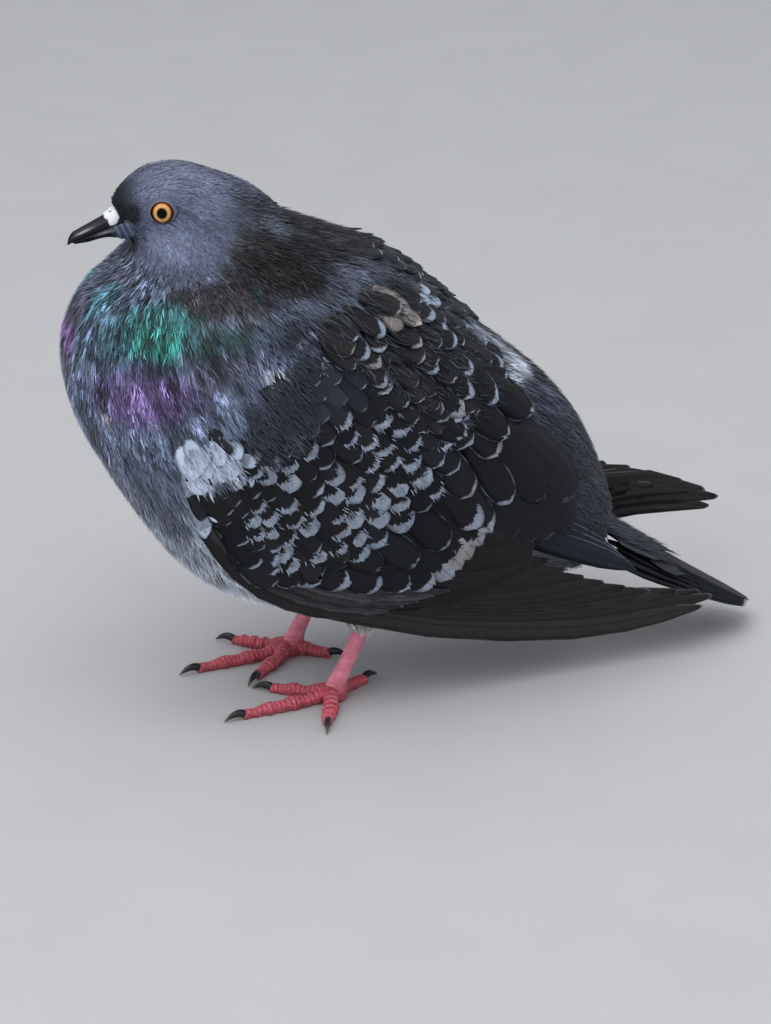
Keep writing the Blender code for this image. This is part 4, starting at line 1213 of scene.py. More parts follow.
def covert_rows(coat, side, rng, first):
    """The shield of coverts: staggered rows whose tips follow the row lines, larger towards the last row.

    The first rows rise from under the breast feathers.
    """
    worn = []
    for row in range(ROWS + 1):
        stagger = 0.5 if row % 2 else 0.0
        share = (np.arange(ACROSS) + stagger) / (ACROSS - 0.5) + rng.normal(0, 0.008, ACROSS)
        rows = np.full(ACROSS, float(row)) + rng.normal(0, 0.12, ACROSS)
        tips = along_rows(rows, share)
        run = along_rows(rows - 1, share) - tips
        grown = 1 - row / ROWS
        length = (13 + 11 * grown ** 1.5) * np.exp(rng.normal(0, 0.06, ACROSS))
        fanned = np.interp(share, (0, 0.5, 0.8, 1), (9, 3, -8, -16))
        angle = np.degrees(np.arctan2(run[:, 1], run[:, 0])) + fanned + rng.normal(0, 4, ACROSS)
        sunk = ease(rows, 8.4, 10.0)
        vanes = Vanes(WING[side], BIG, stood_back(tips, angle, length), angle, length,
                      (8.6 + 4.2 * grown) * np.exp(rng.normal(0, 0.05, ACROSS)), 0.5 - 3.6 * sunk,
                      3.0 - 0.14 * row - 0.5 * sunk, 0.7, 13.0, curl=-0.3, jitter=(2.5, 8), rng=rng)
        spot = tips - unit(run) * 1.5
        depth = pale_depth(spot)
        depth = depth * rng.uniform(0.45, 1.0, ACROSS) + (rng.random(ACROSS) < 0.15) * (rows < 7.5) * 0.8
        slate = ease(tips[:, 1] - np.interp(tips[:, 0], *SLATE_FROM), -4, 8) * (1 - ease(share, 0.72, 0.9))
        tone = blend(BLACK, (0.024, 0.029, 0.042), slate) * np.exp(rng.normal(0, 0.12, ACROSS))[:, None]
        tone = blend(tone, (0.020, 0.017, 0.017), 0.3 * (rng.random(ACROSS) < 0.25) * (1 - slate))
        fringe = np.where(slate > 0.5, 0.35, 0.25) + 0.45 * rng.random(ACROSS)
        lean = rng.choice((0.25, 0.5, 0.85), ACROSS, p=(0.25, 0.25, 0.5))
        warm = 0.25 * rng.random(ACROSS)
        coat.add_cells(vanes, tone, warm, (depth / 10, lean, 0, fringe), first, SHIELD_CELLS)
        first += ACROSS
        worn.append(np.stack([*tips.T, angle, depth, rows], -1))
    return first, np.concatenate(worn)


# Larger coverts below the rows: tip (x, z), heading, length, width, pale depth, lean, edge, warmth
GREATER = np.array([
    (-15, 62.5, -32, 26, 10, 3.0, 0.5, 0.2, 0.3), (-5, 60.0, -27, 30, 11, 4.5, 0.5, 0.2, 0.2),
    (6, 57.5, -26, 32, 12, 2.6, 0.6, 0.3, 0.1), (17, 54.5, -28, 34, 12.5, 1.8, 0.6, 0.5, 0.0),
    (28, 53.0, -32, 36, 13, 1.4, 0.5, 0.4, 0.0), (37, 51.5, -38, 36, 13.5, 3.0, 0.5, 0.3, 0.2),
    (45, 53.5, -46, 36, 13.5, 6.5, 0.45, 0.3, 0.3), (48.8, 57.2, -49, 36, 13.5, 6.5, 0.4, 0.3, 0.7),
    (52, 60.5, -52, 36, 13.5, 8.5, 0.35, 0.3, 0.9),
    (55.8, 65.4, -55, 36, 13.5, 5.0, 0.35, 0.3, 0.6),
    (59, 70.0, -58, 36, 13.5, 3.4, 0.5, 0.4, 0.5), (66, 79.0, -62, 36, 13, 1.5, 0.7, 0.5, 0.2),
    (4, 66, -30, 28, 12, 0.3, 0.5, 0.2, 0.0), (17, 63, -32, 30, 13, 0.3, 0.5, 0.2, 0.0),
    (30, 63, -38, 30, 13.5, 0.4, 0.5, 0.2, 0.0), (42, 68, -48, 30, 14, 0.5, 0.5, 0.25, 0.3),
    (54, 73, -56, 28, 12.5, 3.6, 0.15, 0.3, 0.2), (51, 86, -57, 28, 13.5, 1.4, 0.2, 0.6, 0.6),
    (60, 97, -63, 28, 13.5, 1.4, 0.3, 0.6, 0.6),
])

# Feathers at the bend: tip (x, z), heading, length, width, how pale, pale depth, lean
BEND = np.array([
    (-43.0, 82.0, -70, 26, 7.0, 0.55, 3.0, 0.5), (-46.5, 88.0, -74, 15, 6.0, 0.0, 0.0, 0.5),
    (-40.4, 87.2, -72, 18, 6.5, 0.95, 3.0, 0.5), (-29.0, 96.0, -35, 12, 7.0, 0.70, 3.0, 0.5),
    (-34.5, 96.0, -42, 12, 6.0, 0.0, 0.0, 0.5), (-27.5, 100.7, -40, 13, 6.0, 0.70, 3.0, 0.5),
    (-30.0, 98.8, -42, 9, 3.0, 0.0, 0.0, 0.5), (-45.5, 97.0, -66, 15, 8.5, 1.0, 3.0, 0.5),
    (-38.7, 101.0, -47, 15, 9.0, 1.0, 3.0, 0.5), (-47.5, 103.0, -62, 13, 8.0, 1.0, 3.0, 0.5),
    (-42.0, 104.0, -50, 14, 9.0, 1.0, 3.0, 0.5), (-33.0, 105.0, -42, 13, 8.0, 0.95, 3.0, 0.5),
    (-28.0, 107.0, -42, 12, 6.0, 0.55, 3.0, 0.5), (-44.0, 107.5, -54, 12, 7.5, 0.9, 3.0, 0.5),
    (-37.5, 109.5, -46, 10, 7.5, 0.85, 3.0, 0.5), (-31.5, 112.0, -42, 9, 6.5, 0.70, 3.0, 0.2),
    (-34.8, 114.2, -36, 7, 3.6, 0.05, 0.0, 0.5),
])


def wing_coverts(side):
    """Greater coverts, then the rows of smaller ones over them, then the pale patch at the bend."""
    rng = np.random.default_rng(71)
    coat = Coat(f"wing_{SIDES[side]}_shield", COVERT, (f"wing_{SIDES[side]}_coverts",))
    tips, (angle, length, width, depth, lean, edge, warm) = GREATER[:, :2], GREATER[:, 2:].T
    n = len(GREATER)
    vanes = Vanes(WING[side], BIG, stood_back(tips, angle, length), angle, length, width, 0.5,
                  np.where(np.arange(n) < 12, np.linspace(1.9, 2.6, n), 2.7), 0.8, 20.0, 0.0, 0.0, rng=rng)
    coat.add_cells(vanes, BLACK, warm, (depth / 10, lean, 0, edge), 0, SHIELD_CELLS)
    first, worn = covert_rows(coat, side, rng, n)
    tips, (angle, length, width, whole, depth, lean) = BEND[:, :2], BEND[:, 2:].T
    n = len(BEND)
    vanes = Vanes(WING[side], BIG, stood_back(tips, angle, length), angle, length, width, -2.2,
                  np.linspace(1.5, 2.7, n), 0.45, 10.0, 0.0, rng.normal(0, 6, n), -0.3, rng=rng)
    coat.add_cells(vanes, BLACK, 0.1, (depth / 10, lean, whole, 0.1), first, SHIELD_CELLS)
    coat.make()
    return worn


def wing_patch(p):
    """Where the wing's small barbs bake: the root's place in the side view."""
    return np.stack([(p[:, 0] + 70) / 262, p[:, 1] / 190], -1)


def loose_barbs(coat, side, worn, rng):
    """Split barbs that fray the pale tips of coverts: a few short strands fan out from each."""
    each, frayed = 10, 1.3
    x, z, angle, depth, rows = np.repeat(worn[worn[:, 3] > frayed], each, 0).T
    turn = np.radians(angle)
    across, back = rng.uniform(-1, 1, len(x)), rng.uniform(0.5, 1.3, len(x)) * depth + 0.5
    wide = 4.6 * np.sqrt(1 - (across * 0.9) ** 2 * 0.3)
    p = np.stack([x - np.cos(turn) * (back + 2 * across ** 2) - np.sin(turn) * across * wide * 0.8,
                  z - np.sin(turn) * (back + 2 * across ** 2) + np.cos(turn) * across * wide * 0.8], -1)
    n = len(p)
    vanes = Vanes(WING[side], STRAND, p, angle + across * 14 + rng.normal(0, 7, n), rng.uniform(1.6, 3.4, n),
                  0.34, 2.6 - 0.14 * rows, 3.35 - 0.14 * rows, 0.8, 12.0, jitter=(6, 8), rng=rng)
    coat.add(vanes, shaded(np.array(PALE) * 0.85, vanes, rng.normal(0, 0.25, n), 1.0), wing_patch(p))


def wing_nap(side, worn):
    """Fine hair-like barbs over the small coverts and the bend, which hide their outlines."""
    rng = np.random.default_rng(74 + (side > 0))
    coat = Coat(f"wing_{SIDES[side]}_nap", SOFT)

    def wanted(x, z):
        p = np.stack([x, z], -1)
        small = ease(z - np.interp(x, *SLATE_FROM), -6, 10) * ease(x, -34, -27) * (1 - 0.4 * ease(x, -20, 5))
        ahead = z < np.interp(x, *zip(*FIRST_ROW)) + 15
        spots = np.maximum(oval(p, -46, 92.5, 3.2, 7), oval(p, -38.5, 98, 4.6, 4.6))
        bend = 0.5 * oval(p, -42, 107, 9, 9, 0.3) * (1 - spots)
        return (rng.random(len(p)) < np.maximum(0.60 * small * ahead, bend)) & (x > -52)
    p = scatter(WING[side], (-54.0, 80.0), (44.0, 146.0), 0.95, 74, wanted, False)
    n = len(p)
    angle = np.interp(p[:, 0], (-50, -30, 0, 40), (-60, -50, -44, -52)) + rng.normal(0, 7, n)
    vanes = Vanes(WING[side], STRAND, p, angle, rng.uniform(4, 6.5, n), 0.5, 0.9, rng.normal(2.55, 0.3, n),
                  0.8, 12.0, jitter=(6, 8), rng=rng)
    spot = WING[side].place(p)
    bend = oval(vanes.places, -41.5, 103.5, 11.0, 14.5, 0.4) * (1 - 0.9 * oval(vanes.places, -46, 92, 2.6, 6))
    bend = bend * (1 - 0.9 * oval(vanes.places, -38.5, 98.5, 4.0, 4.5))
    dark = blend((0.044, 0.052, 0.073), (0.033, 0.038, 0.053), ease(p[:, 0], -25, 5))[:, None, None]
    colour = blend(dark, (0.60, 0.68, 0.84), bend)
    flecks = (ease(cloud(spot, 2.6, 12), 0.42, 0.6) * ease(cloud(spot, 9.0, 13), -0.2, 0.5))[:, None, None]
    colour = blend(colour, (0.15, 0.17, 0.22), 0.35 * flecks * (1 - bend))
    power = 0.25 * cloud(spot, 5.0, 14) + rng.normal(0, 0.12, n)
    coat.add(vanes, shaded(colour, vanes, power, 0.75), wing_patch(p))
    loose_barbs(coat, side, worn, rng)
    return coat.make()


# -------- flight feathers

def between(outer, inner, count):
    """Paths from an outer guide to an inner one, as a function of the share of the length."""
    outer, inner = np.array(outer, float), np.array(inner, float)
    share = np.linspace(0, 1, count)[:, None, None]
    guides = outer + (inner - outer) * share

    def path(v):
        return np.stack([spline(g, v * (len(g) - 1)) for g in guides])
    return path


# Broad inner flight feathers: root (x, z), tip (x, z), width
TERTIALS = np.array([
    (38, 100, 70, 66, 17), (44, 104, 77, 61, 19), (52, 106, 84, 62, 21), (60, 107, 91, 64, 23),
    (66, 107, 92.5, 75, 22), (56, 107, 80, 78, 19),
])


# Where the tips of the primaries end, from the outermost
PRIMARY_TIPS = np.array([(147, 21), (151, 25), (146, 27.5), (137, 29), (126, 30.5), (116, 33.5), (107, 37),
                         (99, 41), (91, 46), (84, 52)])


def primary_feathers(side, rng):
    """Ten long primaries along the lower edge, and six narrow worn feathers over their roots."""
    coat = Coat(f"wing_{SIDES[side]}_primary_feathers", QUILL, (f"wing_{SIDES[side]}_primaries",))
    n = len(PRIMARY_TIPS)
    path = between(((-38, 76), (-24, 58), (2, 47), (48, 31), (102, 19.5), (147, 20.5)),
                   ((-28, 84), (-10, 68), (14, 57), (40, 51), (62, 49), (82, 51)), n)

    def primary(v):
        p = path(v) + (PRIMARY_TIPS - path(1.0)) * v ** 3
        lift = 3.5 * (side == RIGHT) * ease(p[:, 0], 85, 125)
        return p + np.stack([0 * lift, lift], -1)
    vanes = Vanes(WING[side], LONG, None, 0, 160, np.linspace(11.5, 15, n), np.linspace(-1.2, -0.5, n),
                  np.linspace(-0.8, 0.1, n), 1.0, 30.0, rng.normal(4, 1, n), path=primary, rng=rng)
    tone = np.linspace(1.5, 0.8, n)[:, None] * (0.0165, 0.0150, 0.0155)
    coat.add_cells(vanes, tone, 0.6, (0, 0.5, 0, np.linspace(0.30, 0.16, n)), 0, 4)
    first, n = n, 6
    path = between(((-49, 94), (-43, 80), (-30, 62), (-10, 49), (14, 42)),
                   ((-42, 94), (-33, 80), (-19, 66), (8, 53), (44, 48)), n)
    vanes = Vanes(WING[side], TAPER, None, 0, 85, 8.0, np.linspace(-0.4, 0.6, n),
                  np.linspace(-0.1, 0.9, n), 1.0, 20.0, rng.normal(5, 1.5, n), path=path, rng=rng)
    tone = blend((0.014, 0.013, 0.014), (0.060, 0.056, 0.064), (0.1, 0.9, 0.2, 0.6, 1.0, 0.3))
    coat.add_cells(vanes, tone, 0.3, (0, 0.5, 0, (0.9, 0.5, 0.9, 0.4, 0.9, 0.5)), first, 4)
    coat.make()


def secondary_feathers(side, rng):
    """Ten secondaries that fan over the primaries, and the broad tertials that cover both.

    Three more feathers close the gap behind the near wing.
    """
    coat = Coat(f"wing_{SIDES[side]}_secondary_feathers", QUILL, (f"wing_{SIDES[side]}_secondaries",))
    n = 10
    path = between(((-22, 68), (0, 56), (26, 48), (52, 45), (77, 51)),
                   ((18, 96), (34, 84), (50, 72), (64, 64), (78, 59)), n)
    vanes = Vanes(WING[side], TAPER, None, 0, 100, 13.0, np.linspace(-0.4, 0.1, n), np.linspace(0.1, 0.6, n),
                  1.0, 30.0, rng.normal(3, 1, n), path=path, rng=rng)
    coat.add_cells(vanes, (0.0130, 0.0125, 0.0135), 0.6, (0, 0.5, 0, 0.12), 0, 5)
    roots, tips, width = TERTIALS[:, :2], TERTIALS[:, 2:4], TERTIALS[:, 4]
    first, n = n, len(TERTIALS)

    def tertial(v):
        sag = np.array((0.6, 0.8)) * 3.0 * math.sin(math.pi * v)
        return roots + (tips - roots) * v + sag
    length = np.linalg.norm(tips - roots, axis=1)
    vanes = Vanes(WING[side], BIG, None, 0, length, width, np.linspace(0.2, 0.9, n),
                  np.linspace(0.9, 1.6, n), 1.0, 22.0, rng.normal(-1, 1, n), path=tertial, rng=rng)
    coat.add_cells(vanes, BLACK * 1.1, 0.6, (0, 0.6, 0, 0.10), first, 5)
    if side == LEFT:
        path = between(((56, 74), (79, 61), (100, 50), (121, 39.5)),
                       ((60, 78), (82, 66), (98, 56), (116, 44)), 3)
        vanes = Vanes(WING[side], TAPER, None, 0, 75, 10.0, (-3.0, -3.3, -3.6), (-2.0, -2.3, -2.6), 1.0, 20.0,
                      6.0, path=path, rng=rng)
        coat.add_cells(vanes, (0.017, 0.020, 0.030), 0, (0, 0.5, 0, 0.3), first + n, 5)
    coat.make()


# -------- scapulars

# Long feathers over the wing's upper edge: root and tip, each (ring, degrees), width, pale depth, lean, edge,
# warmth
SCAPULARS = np.array([
    (8.60, 14, 9.83, 2, 11, 0.2, 0.5, 0.3, 0.5), (9.2, 28, 10.40, 19.5, 12, 0.6, 0.3, 0.7, 0.0),
    (9.2, 48, 10.30, 50, 11, 2.2, 0.8, 0.6, 0.1), (9.4, 58, 10.43, 55.5, 11, 4.0, 0.4, 0.7, 0.5),
    (9.35, 28, 10.62, 31.5, 14, 0.5, 0.3, 0.8, 0.0), (9.5, 66, 10.7, 62, 12, 1.0, 0.6, 0.6, 0.2),
    (9.6, 40, 10.68, 44.5, 13, 1.8, 0.8, 0.5, 0.0), (9.9, 50, 11.2, 53, 14, 0.8, 0.5, 0.3, 0.5),
    (9.9, 36, 11.43, 40, 17, 0.4, 0.4, 0.3, 0.6),
])


def over_wing(degrees):
    """How far the wing's upper edge lifts whatever lies over it."""
    return ease(degrees, 22, 52)


def pale_patches(ring, degrees, warm):
    """How pale whole feathers of the back are, in a few patches, and how warm."""
    white = np.maximum(patch_mask(ring, degrees, 8.35, 25, 0.30, 6, 0),
                       0.9 * patch_mask(ring, degrees, 9.65, 13, 0.5, 13, 0))
    peach = patch_mask(ring, degrees, 8.25, 43, 0.28, 7, 0)
    warm = np.where(peach > 0.3, 1.0, np.where(white > 0.3, 0.0, warm))
    return np.maximum(0.75 * white, 0.55 * peach), warm


def beyond_shield(ring, degrees):
    """Places of the back above the wing's coverts."""
    x, z = side_view(ring, degrees)
    return z + 0.88 * x > 148 + 10 * ease(degrees, 60, 45)


def from_behind(p):
    """Roots in order from the hindmost, so that each feather lies over the one behind it."""
    p = p[np.argsort(-p[:, 0])]
    return p, np.degrees(p[:, 1])


def scapulars(side, rng):
    """Dark feathers from the shoulder over the wing's edge: large ones, then smaller ones over their roots.

    They have thin pale edges and hooked pale tips.
    """
    coat = Coat(f"scapulars_{SIDES[side]}", COVERT)
    in_turns = (1, math.radians(1.0))
    roots, tips = SCAPULARS[:, 0:2] * in_turns, SCAPULARS[:, 2:4] * in_turns
    width, depth, lean, edge, warm = SCAPULARS[:, 4:].T
    roots = roots - 0.25 * (tips - roots)
    length = np.linalg.norm(body_point(*tips.T) - body_point(*roots.T), axis=-1)
    over = over_wing(SCAPULARS[:, 3])
    vanes = Vanes(BODY[side], BIG, None, 0, length, width, -1.0 + 3.0 * over, 1.6 + 4.4 * over, 0.8, 14.0,
                  rng.normal(0, 2, len(over)), path=lambda v: roots + (tips - roots) * v, rng=rng)
    coat.add_cells(vanes, BLACK, warm, (depth / 10, lean, 0, edge), 0, 12)
    p, degrees = from_behind(body_roots(side, (8.0, 20), (9.9, 74), 5.0, 77, beyond_shield))
    n = len(p)
    over = over_wing(degrees)
    length = rng.uniform(13, 17, n)
    vanes = Vanes(BODY[side], BIG, p, rng.normal(0, 9, n), length, rng.uniform(7.0, 9.5, n),
                  -1.2 + 2.6 * over, 1.5 + 4.4 * over - 0.2 * (p[:, 0] - 9), 0.75, 11.0, jitter=(5, 10),
                  rng=rng)
    tone = blend(BLACK * 1.2, (0.022, 0.019, 0.020), rng.random(n) * 0.8)
    whole, warm = pale_patches(p[:, 0], degrees, rng.choice((0.0, 0.2, 0.7), n))
    depth = (rng.random(n) < 0.45) * rng.uniform(0.05, 0.22, n)
    lean, edge = rng.choice((0.2, 0.5, 0.8), n), rng.uniform(0.35, 1.0, n)
    coat.add_cells(vanes, tone, warm, (depth, lean, whole, edge), 12, 12)
    coat.make()


def mantle(side, rng):
    """Short feathers between the neck and the scapulars, and smaller slate ones down the shoulder."""
    coat = Coat(f"mantle_{SIDES[side]}", COVERT)
    above = body_roots(side, (7.2, 0.0), (9.3, 62), 5.0, 79,
                       lambda ring, degrees: ~beyond_shield(ring, degrees) | (degrees < 22.918))
    p, degrees = from_behind(np.concatenate([above, body_roots(side, (7.85, 62), (8.75, 87), 3.8, 80)]))
    n = len(p)
    shoulder = ease(degrees, 60, 66)
    vanes = Vanes(BODY[side], BIG, p, rng.normal(0, 9, n),
                  (12.5 - 3.5 * shoulder) * np.exp(rng.normal(0, 0.12, n)), 8.0 - 1.8 * shoulder, -1.3,
                  2.0 + 0.2 * shoulder, 0.8, 11.0, jitter=(5, 10), rng=rng)
    tone = blend(BLACK * 1.6, (0.030, 0.031, 0.038), rng.random(n))
    tone = blend(tone, (0.034, 0.040, 0.058), shoulder)
    whole, warm = pale_patches(p[:, 0], degrees, rng.choice((0.0, 0.1, 0.5), n))
    spots = patch_mask(p[:, 0], degrees, 8.3, 83, 0.35, 7, 0.0) * (rng.random(n) < 0.7)
    lean, edge = rng.choice((0.2, 0.5, 0.8), n), rng.uniform(0.5, 1.0, n) * (1 - 0.6 * shoulder)
    coat.add_cells(vanes, tone, warm, (0.16 * spots, lean, whole, edge), 0, 14)
    coat.make()


def scapular_nap(side, rng):
    """Loose barbs over the scapulars, and a nap of strands that carries the slate of the shoulder."""
    coat = Coat(f"scapular_{SIDES[side]}_nap", SOFT)
    p = body_roots(side, (7.9, 20), (10.6, 74), 1.9, 78, beyond_shield, False)
    n = len(p)
    over = over_wing(np.degrees(p[:, 1]))
    vanes = Vanes(BODY[side], STRAND, p, rng.normal(0, 12, n), rng.uniform(5, 8, n), 0.45, 0.2 + 3.0 * over,
                  rng.normal(1.9, 0.3, n) + 4.3 * over, 0.9, 12.0, 0.0, rng.normal(0, 14, n), rng=rng)
    spot = body_point(*p.T)
    power = 0.6 * cloud(spot, 2.2, 15) + 0.5 * cloud(spot, 8.0, 16) + 0.2 * rng.normal(0, 1, n)
    coat.add(vanes, shaded(np.array((0.036, 0.041, 0.053)), vanes, power, 1.0), body_patch(vanes, side))

    p = body_roots(side, (7.7, 60), (8.8, 89), 0.8, 82, None, False)
    n = len(p)
    vanes = Vanes(BODY[side], STRAND, p, rng.normal(0, 9, n), rng.uniform(5, 7.5, n), 0.6, -0.4,
                  rng.normal(2.8, 0.3, n), 0.8, 12.0, 0.0, rng.normal(0, 8, n), rng=rng)
    spot = body_point(*p.T)
    colour, _ = plumage(vanes.places)
    mottle = (ease(cloud(spot, 3.4, 17), 0.0, 0.5)
              * patch_mask(p[:, 0], np.degrees(p[:, 1]), 8.30, 81, 0.45, 12, 0))[:, None, None]
    colour = blend(colour, (0.26, 0.31, 0.43), 0.85 * mottle)
    power = 0.5 * cloud(spot, 3.0, 18) + rng.normal(0, 0.2, n)
    coat.add(vanes, shaded(colour, vanes, power, 0.6), body_patch(vanes, side))
    return coat.make()


# -------- the tail

def tail_feathers():
    """Twelve long feathers in a half closed fan, the middle pair on top, the left half let down a little."""
    rng = np.random.default_rng(81)
    coat = Coat("tail_feathers", QUILL, ("tail",))
    order = np.array((-6, 6, -5, 5, -4, 4, -3, 3, -2, 2, -1, 1))
    level = -np.abs(order)
    reach = 72.5 + 1.1 * level
    spread = 1.7 * np.maximum(-2 - order, 0)

    def path(v):
        return np.stack([2 + v * reach, order * (2.7 - 1.45 * v) - spread * (1 - 0.55 * v)], -1)
    vanes = Vanes(TAIL, TAPER, None, 0, reach, 14.0, level * 0.9, level * 0.16, 0.6, 40.0, order * 1.5,
                  path=path, rng=rng)
    coat.add_cells(vanes, (0.0105, 0.0115, 0.0150), 0, (0, 0.5, 0, 0.16), 0, 4)
    return coat.make()


def tail_coverts():
    """Slate feathers from the rump down over the root of the tail, above and below, ending in loose barbs."""
    coat = Coat("tail_coverts", SOFT)
    rng = np.random.default_rng(83)
    for cut, count, length, width, lift in ((FEATHER, 46, 20.0, 8.0, 1.0), (STRAND, 900, 13.0, 0.7, 1.9)):
        p = np.stack([rng.uniform(-14, 22, count), rng.uniform(-15, 15, count)], -1)
        vanes = Vanes(TAIL, cut, p, -p[:, 1] * 0.6 + rng.normal(0, 5, count),
                      length * np.exp(rng.normal(0, 0.15, count)), width, -0.6,
                      lift + rng.normal(0, 0.3, count), 0.9, 18.0, rng.normal(0, 6, count), rng=rng)
        colour = blend((0.060, 0.068, 0.092), (0.020, 0.022, 0.030), ease(vanes.places[..., 0], 0, 45))
        patch = np.stack([0.05 + (p[:, 0] + 14) / 40, 0.05 + (p[:, 1] + 15) / 34], -1)
        coat.add(vanes, shaded(colour, vanes, rng.normal(0, 0.3, count), 0.6), patch)
    return coat.make()


for side in SIDES:
    wing_nap(side, wing_coverts(side))
    quill_rng = np.random.default_rng(72)
    primary_feathers(side, quill_rng)
    secondary_feathers(side, quill_rng)
    shoulder_rng = np.random.default_rng(76)
    scapulars(side, shoulder_rng)
    mantle(side, shoulder_rng)
    scapular_nap(side, shoulder_rng)
tail_feathers()
tail_coverts()


# -------- bill and cere

WRINKLES = 65.0                # of the bill's root skin, in radians per length of bill
HOOK_FROM = 0.80               # share of the upper bill from which it hooks down
BILL_BASE, BILL_TIP = np.array((-62.5, 0.0, 187.4)), np.array((BILL_TIP_X, 0.0, 180.6))
MOUTH_GAP = 0.3


def bill_frame(share):
    """Middle of the bill, and its ring's upward direction: leaning with the face, then square to the bill."""
    share = np.atleast_1d(share)[:, None]
    run = BILL_TIP - BILL_BASE
    square = unit(np.array((run[2], 0.0, -run[0])))
    back_x, back_z, throat_x, throat_z = BODY_RINGS[0][:4]
    face = unit(np.array((back_x - throat_x, 0.0, back_z - throat_z)))
    lean = ease(share, 0.0, 0.35)
    return BILL_BASE + run * share, unit(face * (1 - lean) + square * lean)


def bill_profile(share):
    """Half width, and height of the upper and lower halves, at a share of the bill's length."""
    blunt = np.maximum(0.0, share - 0.8) / 0.2
    width = 4.6 * (1 - 0.70 * share) * (1 - 0.6 * blunt ** 2)
    upper = 4.0 * (1 - 0.42 * share) * (1 - 0.72 * blunt ** 2)
    lower = (3.9 * (1 - 0.5 * share) * (1 - 0.35 * ease(share, 0.6, 0.9))
             + 5.2 * np.exp(-(np.maximum(share + 0.1, 0) / 0.28) ** 2))
    return width, upper, lower


def horn_finish():
    """Black horn with a dull bloom, fine lengthwise growth lines, and blue-grey wrinkled skin at its root."""
    finish = Finish("bill_horn_gloss", "bill_horn", Specular_IOR_Level=0.25)
    tint, (_, _, _, skin) = finish.attribute("tint")
    at = finish.node("Mapping", {}, {0: finish.place(), "Scale": (0.35, 1.6, 1.6)}).outputs[0]
    lines = finish.noise(at, 1.2, 3.0)
    bloom = finish.noise(finish.place(), 0.5, 3.0)
    finish.wear(Base_Color=finish.shade(tint, lines * 0.6 + bloom * 0.6 + 0.4),
                Roughness=skin * 0.35 + bloom * 0.22 + 0.16)
    finish.bump(lines, 0.10, 0.5)
    return finish


def bill():
    """Two half-round tubes on a mouth line; the upper hooks down at its tip, and both wrinkle at the root."""
    finish = horn_finish()
    sides, rings = 30, 46
    turn = np.linspace(0, math.pi, sides)
    for half, start, reach in (("upper", -0.10, 1.0), ("lower", -0.22, 0.91)):
        upper = half == "upper"
        s = np.linspace(start, reach, rings)[:, None]
        share = np.maximum(s / reach, 0.0)
        width, high, low = bill_profile(np.maximum(s, 0.0))
        if not upper:
            width = (width + 31.0 * np.maximum(-s, 0)) * (1 - 0.35 * ease(-s, 0.14, 0.22))
            low = bill_profile(s)[2]
        middle, upward = bill_frame(s[:, 0])
        root = 1 - (ease(s, 0.02, 0.10) if upper else ease(s, 0.14, 0.24))
        fold = root * 0.22 * np.sin(s * WRINKLES) * np.sin(turn) ** 0.5
        if upper:
            hook = 1.8 * (np.maximum(0.0, share - HOOK_FROM) / (1 - HOOK_FROM)) ** 1.6
            centre = middle[:, None] + upward[:, None] * (MOUTH_GAP / 2 - hook * 0.5)[..., None]
            ridge = 1 + 0.10 * np.exp(-((turn - math.pi / 2) / 0.35) ** 2) * (1 - root)
            height = high * ridge
            swell = 1 + 0.10 * np.exp(-((share - HOOK_FROM) / 0.12) ** 2)
        else:
            centre = middle[:, None] - upward[:, None] * MOUTH_GAP / 2
            height = -low
            swell = 1.0
        end = np.sqrt(np.clip(1 - (np.maximum(0, share - 0.93) / 0.075) ** 2, 0.02, 1))
        across = np.cos(turn) * (width + 0.25 * root) * swell * end + np.sign(np.cos(turn)) * fold
        rise = np.sin(turn) ** 0.9 * (height * end) + fold * np.sign(height)
        grid = centre + rise[..., None] * upward[:, None] + across[..., None] * np.array((0, 1.0, 0))
        # Painted shade in the root skin's folds: the wrinkles' grooves are darker blue-grey and their ridges
        # paler.
        wrinkle = 0.5 + 0.5 * np.sin(s * WRINKLES) + 0 * turn
        bare = blend((0.040, 0.050, 0.095), (0.150, 0.190, 0.300), wrinkle)
        tone = blend((0.0055, 0.0050, 0.0060), bare, root * (0.1 if upper else 1.0) + 0 * turn)
        # Painted highlight, partly a real pale powder bloom: a pale streak along the upper side of the upper
        # bill and low on the lower jaw.
        rise_of_highlight, middle_of_highlight = (0.60, 0.66) if upper else (0.22, 0.33)
        streak = np.exp(-((np.sin(turn) - rise_of_highlight) / 0.11) ** 2 - ((s - middle_of_highlight) / 0.15) ** 2)
        tone = blend(tone, (0.50, 0.48, 0.56), (0.8 if upper else 0.6) * streak)
        tint = np.concatenate([tone, (root + 0 * turn)[..., None]], -1)
        closed_tubes(f"bill_{half}_horn", [grid], [tint], finish, replaces=(f"bill_{half}",))


def cere_finish():
    """Chalky white bare skin with fine pits and a faint grey bloom in the hollows."""
    finish = Finish("chalky_cere", "cere_skin", Roughness=0.85, Specular_IOR_Level=0.2,
                    Subsurface_Weight=0.15, Subsurface_Scale=MM)
    grain = finish.noise(finish.place(), 1.9, 4.0)
    pits = finish.cells(finish.place(), 1.5, "F1")
    finish.wear(Base_Color=finish.mix(grain * 0.7 + pits * 0.35, (0.99, 0.98, 0.99), (0.72, 0.73, 0.76)))
    finish.bump(grain + pits * 0.4, 0.25, 0.8)
    return finish


